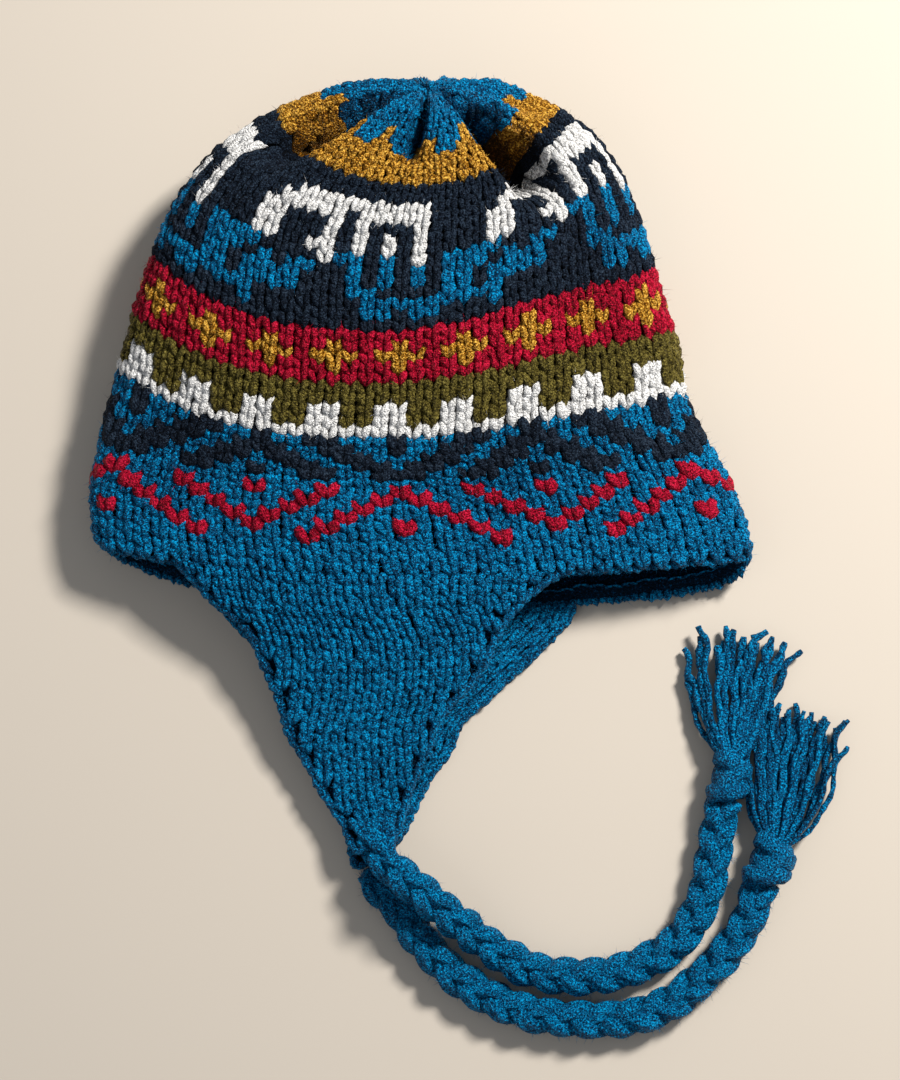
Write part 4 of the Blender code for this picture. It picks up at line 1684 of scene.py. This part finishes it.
def tube(
    spine: Array,
    wide: Array,
    high: Array,
    sides: int,
    lobes: int = 0,
    twist: float = 0.0,
    depth: float = 0.0,
    tone: float = 0.0,
) -> Laid:
    """A closed tube of blue yarn along a spine.

    Args:
        spine: the points of its middle line.
        wide: its half width at each point, level with the floor.
        high: its half height at each point.
        sides: the points round it.
        lobes: how many plies stand out of it.
        twist: how fast the plies turn, in radians for each metre.
        depth: how deep the grooves between them are, as a share of its thickness.
        tone: its tone.

    Returns:
        The tube.
    """
    way = unit(np.gradient(spine, axis=0))
    side = unit(np.cross(way, [0.0, 0.0, 1.0]))
    up = np.cross(side, way)
    length = run_along(spine)
    turn = np.linspace(0, 2 * math.pi, sides, endpoint=False)
    grooves = 1 + depth * (np.cos(lobes * turn[None] + twist * length[:, None]) if lobes else 0)
    rings = (
        spine[:, None]
        + side[:, None] * (np.cos(turn)[None] * wide[:, None] * grooves)[..., None]
        + up[:, None] * (np.sin(turn)[None] * high[:, None] * grooves)[..., None]
    )
    count = len(spine)
    points = np.concatenate([rings.reshape(-1, 3), spine[:1], spine[-1:]])
    faces = [(b, a, d, c) for a, b, c, d in band_faces(count, sides)]
    first_tip, last_tip = count * sides, count * sides + 1
    for j in range(sides):
        k = (j + 1) % sides
        faces.append((j, k, first_tip))
        faces.append((first_tip - sides + k, first_tip - sides + j, last_tip))
    blue = np.full(len(faces), YarnColour.BLUE.value)
    return crowd_of(points, faces, np.full(len(points), tone), blue)


@dataclass
class BraidedTie:
    """A three-strand braid of blue yarn, from a flap's tip to its knot.

    Args:
        name: the solid that it stands for.
        stops: its route and its girth along it.
        brim_y: where the brim line lies in the frame.
        seed: the seed of its small differences.
        diameter: how thick it is; not used.
        turn_length: how far one strand runs until it is back on its side.
        reach: how far a strand swings to each side.
        rise: how far it climbs over the others.
        strand_wide, strand_high: half a strand's width and height.
        sink: how much deeper the braid lies than the route's points.
        path_points: the points of the route that declare() works out.
        measured_points: the points along which its length is measured.
        step: how far apart a strand's rings are.
        sides, lobes: a strand's points round it and its plies.
        twist: how fast the plies turn, in radians for each metre.
        groove: how deep the grooves between them are.
        uneven: how much its thickness varies, as a share.
    """

    name: str
    stops: Sequence[Stop]
    brim_y: float
    seed: int
    diameter: float = 0.012
    turn_length: float = 0.031
    reach: float = 0.0034
    rise: float = 0.0019
    strand_wide: float = 0.0031
    strand_high: float = 0.0029
    sink: float = 0.0012
    path_points: int = 36
    measured_points: int = 400
    step: float = 0.0011
    sides: int = 20
    lobes: int = 5
    twist: float = 520
    groove: float = 0.15
    uneven: float = 0.07

    def route(self, count: int) -> Array:
        """The smooth route.

        Args:
            count: how many points are wanted along it.

        Returns:
            Rows of x, y, z and the girth there.
        """
        chord = [0.0]
        for a, b in zip(self.stops, self.stops[1:]):
            chord.append(chord[-1] + math.dist(a[:3], b[:3]))
        place = np.linspace(0, chord[-1], count)
        points = np.stack([eased(chord, [s[k] for s in self.stops], place) for k in range(4)], -1)
        points[:, 1] += self.brim_y
        points[:, 2] -= self.sink
        return points

    def length(self) -> float:
        """The tie's length along its middle line."""
        return float(run_along(self.route(self.measured_points)[:, :3])[-1])

    def strands(self) -> Laid:
        """The three strands.

        Returns:
            Three lobed tubes that swing over and under each other.
        """
        rng = np.random.default_rng(self.seed)
        count = int(self.length() / self.step)
        points = self.route(count)
        spine, girth = points[:, :3], points[:, 3]
        way = unit(np.gradient(spine, axis=0))
        side = unit(np.cross(way, [0.0, 0.0, 1.0]))
        up = np.cross(side, way)
        place = np.linspace(0, self.length(), count)
        crowds = []
        for strand in range(3):
            phase = 2 * math.pi * (place / self.turn_length + strand / 3)
            sway = (self.reach * np.sin(phase) * girth)[:, None] * side
            hop = (self.rise * np.sin(2 * phase) * girth)[:, None] * up
            knots = np.linspace(0, self.length(), count // 4 + 2)
            uneven = 1 + self.uneven * np.interp(place, knots, rng.standard_normal(len(knots)))
            crowds.append(
                tube(
                    spine + sway + hop,
                    self.strand_wide * girth * uneven,
                    self.strand_high * girth * uneven,
                    sides=self.sides,
                    lobes=self.lobes,
                    twist=self.twist,
                    depth=self.groove,
                    tone=rng.random() - 0.5,
                )
            )
        return joined(crowds)

    def build(self) -> bpy.types.Object:
        """Makes the braid; declare() follows once the pieces on it are there.

        Returns:
            The braid.
        """
        strands = self.strands()
        LooseFibres(self.name + "_fuzz", "blue_braid", 4500, 0.0036, self.seed + 300).build([strands])
        return dress(mesh_piece(self.name + "_braid", strands), "blue_braid", self.name)

    def declare(self, braid: bpy.types.Object, pieces: Sequence[bpy.types.Object]) -> None:
        """Works out the braid's route and its length, and does nothing with them.

        Args:
            braid: the braid; not used.
            pieces: what is on its far end; not used.
        """
        path = self.route(self.path_points)[:, :3]
        round(self.length(), 4)

    def end(self) -> tuple[Vector, Vector]:
        """How the tie ends.

        Returns:
            Where it ends in the frame and the level direction that it ends in.
        """
        last, before = Vector(self.stops[-1][:3]), Vector(self.stops[-2][:3])
        heading = (last - before).xy.normalized()
        return last + Vector((0, self.brim_y, 0)), Vector((heading.x, heading.y, 0))


class KnotBand(NamedTuple):
    """A band of a knot.

    Args:
        shift: its place along the knot, as a share of the knot's length.
        tilt: how many degrees it is turned.
        size: its size beside the knot's.
        radius: its yarn's radius.
    """

    shift: float
    tilt: float
    size: float
    radius: float


KNOT_BANDS = (
    KnotBand(-0.30, 24, 0.86, 0.0030),
    KnotBand(0.30, -22, 0.86, 0.0030),
    KnotBand(0.0, 62, 0.92, 0.0027),
)


@dataclass
class WoundKnot:
    """The overhand knot at a tie's end: three bands of yarn wound round a core.

    Args:
        name: the solid that it stands for.
        tie: the tie that it ends.
        wide, long, high: its size.
        gap: how far it lies from the tie's end.
        band_points, band_sides: a band's points along it and round it.
        plies: how many plies a band has.
        groove: how deep the grooves between them are.
        core: the core's thickness beside the knot's.
    """

    name: str
    tie: BraidedTie
    wide: float
    long: float
    high: float = 0.0135
    gap: float = 0.0003
    band_points: int = 40
    band_sides: int = 12
    plies: int = 3
    groove: float = 0.12
    core: float = 0.40

    def frame(self) -> tuple[Vector, Vector, Vector]:
        """How the knot lies.

        Returns:
            Its middle, the way that the tie runs and the way across it.
        """
        last, heading = self.tie.end()
        middle = last + heading * (self.gap + self.long / 2)
        middle.z = self.high / 2
        return middle, heading, Vector((heading.y, -heading.x, 0))

    def build(self) -> bpy.types.Object:
        """Makes the knot's core and its three bands.

        Returns:
            The knot.
        """
        middle, heading, across = self.frame()
        up = Vector((0, 0, 1))
        turn = np.linspace(0, 2 * math.pi, self.band_points, endpoint=False)
        crowds = []
        for number, band in enumerate(KNOT_BANDS):
            lean = Matrix.Rotation(math.radians(band.tilt), 3, up)
            first = np.array(lean @ across)
            half_wide = self.wide / 2 * band.size - band.radius * 0.55
            half_high = self.high / 2 * band.size - band.radius * 0.45
            centre = np.array(middle + heading * (self.long * band.shift))
            loop = (
                centre
                + np.cos(turn)[:, None] * first * half_wide
                + np.sin(turn)[:, None] * np.array(up) * half_high
            )
            crowds.append(self.ring(loop, band.radius, number))
        share = np.linspace(-1, 1, 9)
        core = np.array([np.array(middle + heading * (self.long * s / 2)) for s in share])
        shape = np.sqrt(np.maximum(0.05, 1 - share**2)) * self.core
        # Painted shade: the core, inside the bands, is a tone darker.
        crowds.append(tube(core, shape * self.wide, shape * self.high, self.band_sides, tone=-0.4))
        return dress(mesh_piece(self.name + "_bands", joined(crowds)), "blue_braid", self.name)

    def ring(self, loop: Array, radius: float, number: int) -> Laid:
        """A closed band of plied yarn.

        Args:
            loop: the points of its middle line.
            radius: the yarn's radius.
            number: which band it is, so that the plies and tones differ.

        Returns:
            The band.
        """
        count, sides = len(loop), self.band_sides
        way = unit(np.roll(loop, -1, 0) - np.roll(loop, 1, 0))
        out = loop - loop.mean(0)
        out = unit(out - (out * way).sum(1, keepdims=True) * way)
        side = np.cross(way, out)
        turn = np.linspace(0, 2 * math.pi, sides, endpoint=False)
        twist = np.linspace(0, 2 * math.pi * self.plies, count, endpoint=False)
        grooves = 1 + self.groove * np.cos(self.plies * turn[None] + twist[:, None] + number)
        rings = (
            loop[:, None]
            + out[:, None] * (np.cos(turn)[None] * radius * 0.8 * grooves)[..., None]
            + side[:, None] * (np.sin(turn)[None] * radius * 1.15 * grooves)[..., None]
        )
        points = rings.reshape(-1, 3)
        faces = [tuple(v % len(points) for v in face) for face in band_faces(count + 1, sides)]
        blue = np.full(len(faces), YarnColour.BLUE.value)
        return crowd_of(points, faces, np.full(len(points), 0.1 * number), blue)


@dataclass
class TipGather:
    """The flap's last loops, drawn together into the braid.

    Args:
        name: the piece's name.
        flap: the flap that the loops leave.
        tie: the tie that they run into.
        seed: the seed of their small differences.
        yarns: how many there are.
        radius: half their thickness.
        start_spread, edge_spread: how far to each side they start and pass the flap's edge, as
            shares of its width.
        start_down, start_stray: how far down the flap they start, and by how much that differs.
        edge_down: where they pass its edge.
        braid_half, braid_rise: how far across the braid and up on it they end.
        into_points, into_place: the points of the tie's route and the one that they end at.
        lumps: how uneven they are.
    """

    name: str
    flap: FlapForm
    tie: BraidedTie
    seed: int
    yarns: int = 7
    radius: float = 0.0016
    start_spread: float = 0.36
    edge_spread: float = 0.26
    start_down: float = 0.87
    start_stray: float = 0.03
    edge_down: float = 0.97
    braid_half: float = 0.0032
    braid_rise: float = 0.0026
    into_points: int = 60
    into_place: int = 5
    lumps: float = 0.12

    def on_flap(self, across: float, down: float, lift: float) -> Array:
        """A point over the flap's upper side."""
        return self.flap.lifted(np.array([across]), np.array([down]), np.array([lift]))[0]

    def build(self) -> bpy.types.Object:
        """Makes each drawn-in yarn as a lumpy tube from the flap's face into the braid.

        Returns:
            The drawn-in yarns as one piece.
        """
        rng = np.random.default_rng(self.seed)
        route = self.tie.route(self.into_points)[:, :3]
        into = route[self.into_place]
        across = np.cross(unit(into - route[0]), [0.0, 0.0, 1.0])
        share = np.linspace(0, 1, 18)
        crowds = []
        for number in range(self.yarns):
            side = 2 * number / (self.yarns - 1) - 1
            down = self.start_down + self.start_stray * rng.random()
            start = self.on_flap(0.5 + self.start_spread * side, down, 0.0004)
            edge = self.on_flap(0.5 + self.edge_spread * side, self.edge_down, 0.0010)
            rise = np.array([0, 0, self.braid_rise * (1 - side**2)])
            last = into + across * side * self.braid_half + rise
            spine = (
                start * ((1 - share) ** 2)[:, None]
                + edge * (2 * share * (1 - share))[:, None]
                + last * (share**2)[:, None]
            )
            lumps = 1 + self.lumps * np.interp(share, np.linspace(0, 1, 9), rng.standard_normal(9))
            swell = self.radius * lumps * np.interp(share, (0, 0.12, 0.9, 1), (0.5, 1, 1, 0.6))
            crowds.append(
                tube(spine, swell, swell, sides=10, lobes=2, twist=800, depth=0.12, tone=rng.random() - 0.5)
            )
        return dress(mesh_piece(self.name, joined(crowds)), "blue_braid")


class Strand(NamedTuple):
    """A yarn end: degrees off the tassel's middle, length as a share, bend, height and tip's hook."""

    turn: float
    reach: float
    bend: float
    rise: float
    hook: float


UPPER_STRANDS = (
    Strand(-19, 0.90, -0.05, 0.3, -0.35),
    Strand(-22, 0.72, 0.03, 0.8, -0.2),
    Strand(-12, 1.02, -0.02, 1.0, -0.3),
    Strand(-7, 1.00, 0.04, 0.7, 0.5),
    Strand(-1, 1.02, -0.03, 0.9, 0.6),
    Strand(5, 0.97, -0.04, 0.6, 0.3),
    Strand(11, 0.96, -0.05, 0.5, 0.2),
)
UNDER_STRANDS = (
    Strand(7, 0.92, 0.06, 0.6, 0.5),
    Strand(4, 1.08, 0.03, 1.0, 0.4),
    Strand(-8, 1.12, 0.02, 0.8, 0.2),
    Strand(-12, 1.00, -0.03, 0.3, -0.2),
)


@dataclass
class Tassel:
    """Loose yarn ends that leave a knot like a brush and lie down on the floor.

    Args:
        name: the solid that it stands for.
        knot: the knot that it leaves.
        turns: the two outer directions of the brush, in degrees off its middle.
        lean: how far the brush leans off the tie's direction, in degrees.
        count: how many ends fill the brush.
        strands: the ends listed one by one, besides.
        seed: the seed of the ends' small differences.
        yarn_radius: half an end's thickness.
        brush: half the brush's width near the knot.
        reaches: the shortest and the longest of the ends that fill it, as shares of its length.
        length: its length.
        start_in: how deep in the knot the ends start.
        wave, waves: how far an end waves, and how often.
        hook, hook_from: how far a tip hooks sideways, and from which share of its length.
        climb: how high the highest end lies.
        lumps: how uneven they are.
    """

    name: str
    knot: WoundKnot
    turns: tuple[float, float]
    lean: float
    count: int
    strands: Sequence[Strand]
    seed: int
    yarn_radius: float
    brush: float
    reaches: tuple[float, float]
    length: float = 0.050
    start_in: float = 0.003
    wave: float = 0.0009
    waves: float = 3.0
    hook: float = 0.006
    hook_from: float = 0.86
    climb: float = 0.0055
    lumps: float = 0.13

    def fan(self) -> list[Strand]:
        """All the yarn ends.

        Returns:
            The listed ones and then those that fill the brush.
        """
        rng = np.random.default_rng(self.seed)
        low, high = self.turns
        made = list(self.strands)
        for number in range(self.count):
            turn = blend(low, high, (number + 0.5) / self.count) + rng.normal(0, 1.5)
            reach = blend(*self.reaches, rng.random())
            made.append(Strand(turn, reach, rng.normal(0, 0.03), rng.random(), 0.0))
        return made

    def build(self) -> bpy.types.Object:
        """Makes every yarn end as a lumpy, wavy tube, some with a tip that hooks back.

        Returns:
            The tassel.
        """
        rng = np.random.default_rng(self.seed + 1)
        middle, heading, _ = self.knot.frame()
        start = np.array(middle + heading * (self.knot.long / 2 - self.start_in))
        aim = Matrix.Rotation(math.radians(-self.lean), 3, "Z") @ heading
        crowds = []
        share = np.linspace(0, 1, 34)
        low, high = self.turns
        for strand in self.fan():
            towards = Matrix.Rotation(math.radians(-strand.turn), 3, "Z") @ aim
            sideways = np.array((towards.y, -towards.x, 0))
            side = np.clip(2 * (strand.turn - low) / (high - low) - 1, -1, 1)
            opened = self.brush * side * (1 - (1 - share) ** 5)
            bow = self.length * strand.bend * np.sin(math.pi * share)
            phase = share * self.waves * strand.reach + rng.random()
            wave = self.wave * np.sin(2 * math.pi * phase) * share
            hook = strand.hook * self.hook * np.clip(share - self.hook_from, 0, 1) * 7
            back = abs(strand.hook) * 0.05 * np.clip(share - 0.88, 0, 1) * 9 * self.length
            along = self.length * strand.reach * share - back
            spine = start + along[:, None] * np.array(towards)
            spine = spine + (opened + bow + wave + hook)[:, None] * sideways
            level = self.yarn_radius + strand.rise * self.climb * (1 - 0.4 * share)
            spine[:, 2] = blend(start[2] + (strand.rise - 0.5) * 0.006, level, share**0.6)
            lumps = 1 + self.lumps * np.interp(share, np.linspace(0, 1, 19), rng.standard_normal(19))
            girth = self.yarn_radius * lumps * np.interp(share, (0, 0.95, 1), (0.8, 1, 0.7))
            tone = 1.6 * (rng.random() - 0.6)
            crowds.append(
                tube(spine, girth, girth, sides=8, lobes=2, twist=1300, depth=0.14, tone=tone)
            )
        return dress(mesh_piece(self.name + "_yarns", joined(crowds)), "tassel_yarn", self.name)


@dataclass
class Studio:
    """A plain pale floor, soft lights and the camera over the hat.

    Args:
        target: what the camera and the lights face.
        distance: how far the camera is from it.
        tilt: how many degrees off straight down the camera looks.
        half_view: half the picture's height over the camera's distance.
        sensor: the height of the camera's picture, in millimetres.
        floor_size, floor_drop: the floor's width and how far below the hat it lies.
    """

    target: tuple[float, float, float] = (0.0102, -0.0258, 0.020)
    distance: float = 0.80
    tilt: float = 7.0
    half_view: float = 0.241
    sensor: float = 36.0
    floor_size: float = 6.0
    floor_drop: float = 0.0004

    def camera(self) -> None:
        """Sets the camera at the photograph's angle, looking down at the hat."""
        tilt = math.radians(self.tilt)
        target = Vector(self.target)
        eye = target + Vector((0, -math.sin(tilt), math.cos(tilt))) * self.distance
        bpy.ops.object.camera_add(location=eye)
        camera = bpy.context.active_object
        camera.name = "view_camera"
        camera.data.sensor_width = self.sensor
        camera.data.lens = self.sensor / 2 / self.half_view
        camera.rotation_mode = "QUATERNION"
        camera.rotation_quaternion = (target - eye).to_track_quat("-Z", "Y")
        bpy.context.scene.camera = camera

    def light(self, name: str, place: Vector, size: float, power: float, colour: Vector) -> None:
        """An area light that faces the hat.

        Args:
            name: its name.
            place: where it stands.
            size: how wide it is.
            power: how strong it is.
            colour: its colour.
        """
        bpy.ops.object.light_add(type="AREA", location=place)
        lamp = bpy.context.active_object
        lamp.name = name
        lamp.data.size = size
        lamp.data.energy = power
        lamp.data.color = colour
        lamp.rotation_mode = "QUATERNION"
        lamp.rotation_quaternion = (Vector(self.target) - place).to_track_quat("-Z", "Y")

    def build(self) -> None:
        """Makes the floor and the lights."""
        deselect_all()
        bpy.ops.mesh.primitive_plane_add(size=self.floor_size, location=(0, 0, -self.floor_drop))
        floor = bpy.context.active_object
        floor.name = "studio_floor"
        paper = bpy.data.materials.new("pale_floor")
        paper.use_nodes = True
        shader = paper.node_tree.nodes["Principled BSDF"]
        shader.inputs["Base Color"].default_value = (0.50, 0.45, 0.39, 1)
        shader.inputs["Roughness"].default_value = 0.9
        floor.data.materials.append(paper)
        self.light("key_light", Vector((0.78, 0.66, 0.90)), 0.26, 37.0, Vector((1.0, 0.96, 0.90)))
        self.light("fill_light", Vector((-0.8, -0.6, 0.9)), 1.2, 2.5, Vector((0.92, 0.96, 1.0)))
        world = bpy.data.worlds.new("soft_room")
        world.use_nodes = True
        sky = world.node_tree.nodes["Background"]
        sky.inputs["Color"].default_value = (0.9, 0.94, 1.0, 1)
        sky.inputs["Strength"].default_value = 0.28
        bpy.context.scene.world = world
        bpy.context.scene.view_settings.view_transform = "Standard"


def main() -> None:
    """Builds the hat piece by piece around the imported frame."""
    logging.basicConfig(level=logging.INFO, format="%(name)s: %(message)s")
    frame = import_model()
    deselect_all()
    LOG.info("frame with %d nodes", len(frame["nodes"]))
    studio = Studio()
    studio.camera()
    lowest_back = COURSES[0].back_y * CapForm.cap_height
    brim_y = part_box("cap_body")[0].y - lowest_back
    ties = (
        BraidedTie("tie_upper", UPPER_TIE, brim_y, 21),
        BraidedTie("tie_under", UNDER_TIE, brim_y, 22),
    )
    knots = (
        WoundKnot("tie_knot_upper", ties[0], 0.0168, 0.0160),
        WoundKnot("tie_knot_under", ties[1], 0.0193, 0.0148),
    )
    tassels = (
        Tassel(
            "tassel_upper",
            knots[0],
            turns=(-13, 6),
            lean=-3.0,
            count=24,
            strands=UPPER_STRANDS,
            seed=41,
            yarn_radius=0.00130,
            brush=0.0078,
            reaches=(0.74, 1.0),
        ),
        Tassel(
            "tassel_under",
            knots[1],
            turns=(-11, 3),
            lean=-8.0,
            count=44,
            strands=UNDER_STRANDS,
            seed=42,
            yarn_radius=0.00105,
            brush=0.0092,
            reaches=(0.86, 1.1),
        ),
    )
    for tie, knot, tassel in zip(ties, knots, tassels):
        braid = tie.build()
        bands = knot.build()
        yarns = tassel.build()
        tie.declare(braid, [bands, yarns])
    cap = CapForm(brim_y)
    leg, purl = YarnShape("leg_form", LEG_RINGS), YarnShape("purl_form", PURL_RINGS)
    KnittedCap(cap, Chart(), leg, purl).build()
    upper = FlapForm(cap, UPPER_FLAP, (41.5, 114.0), False)
    under = FlapForm(cap, UNDER_FLAP, (311.0, 242.0), True)
    EarFlap("ear_flap_under", under, leg, (), 61).build()
    EarFlap("ear_flap_upper", upper, leg, ("ear_flap_under",), 51).build()
    TipGather("tie_root_upper", upper, ties[0], 71).build()
    TipGather("tie_root_under", under, ties[1], 72).build()
    studio.build()


if __name__ == "__main__":
    main()
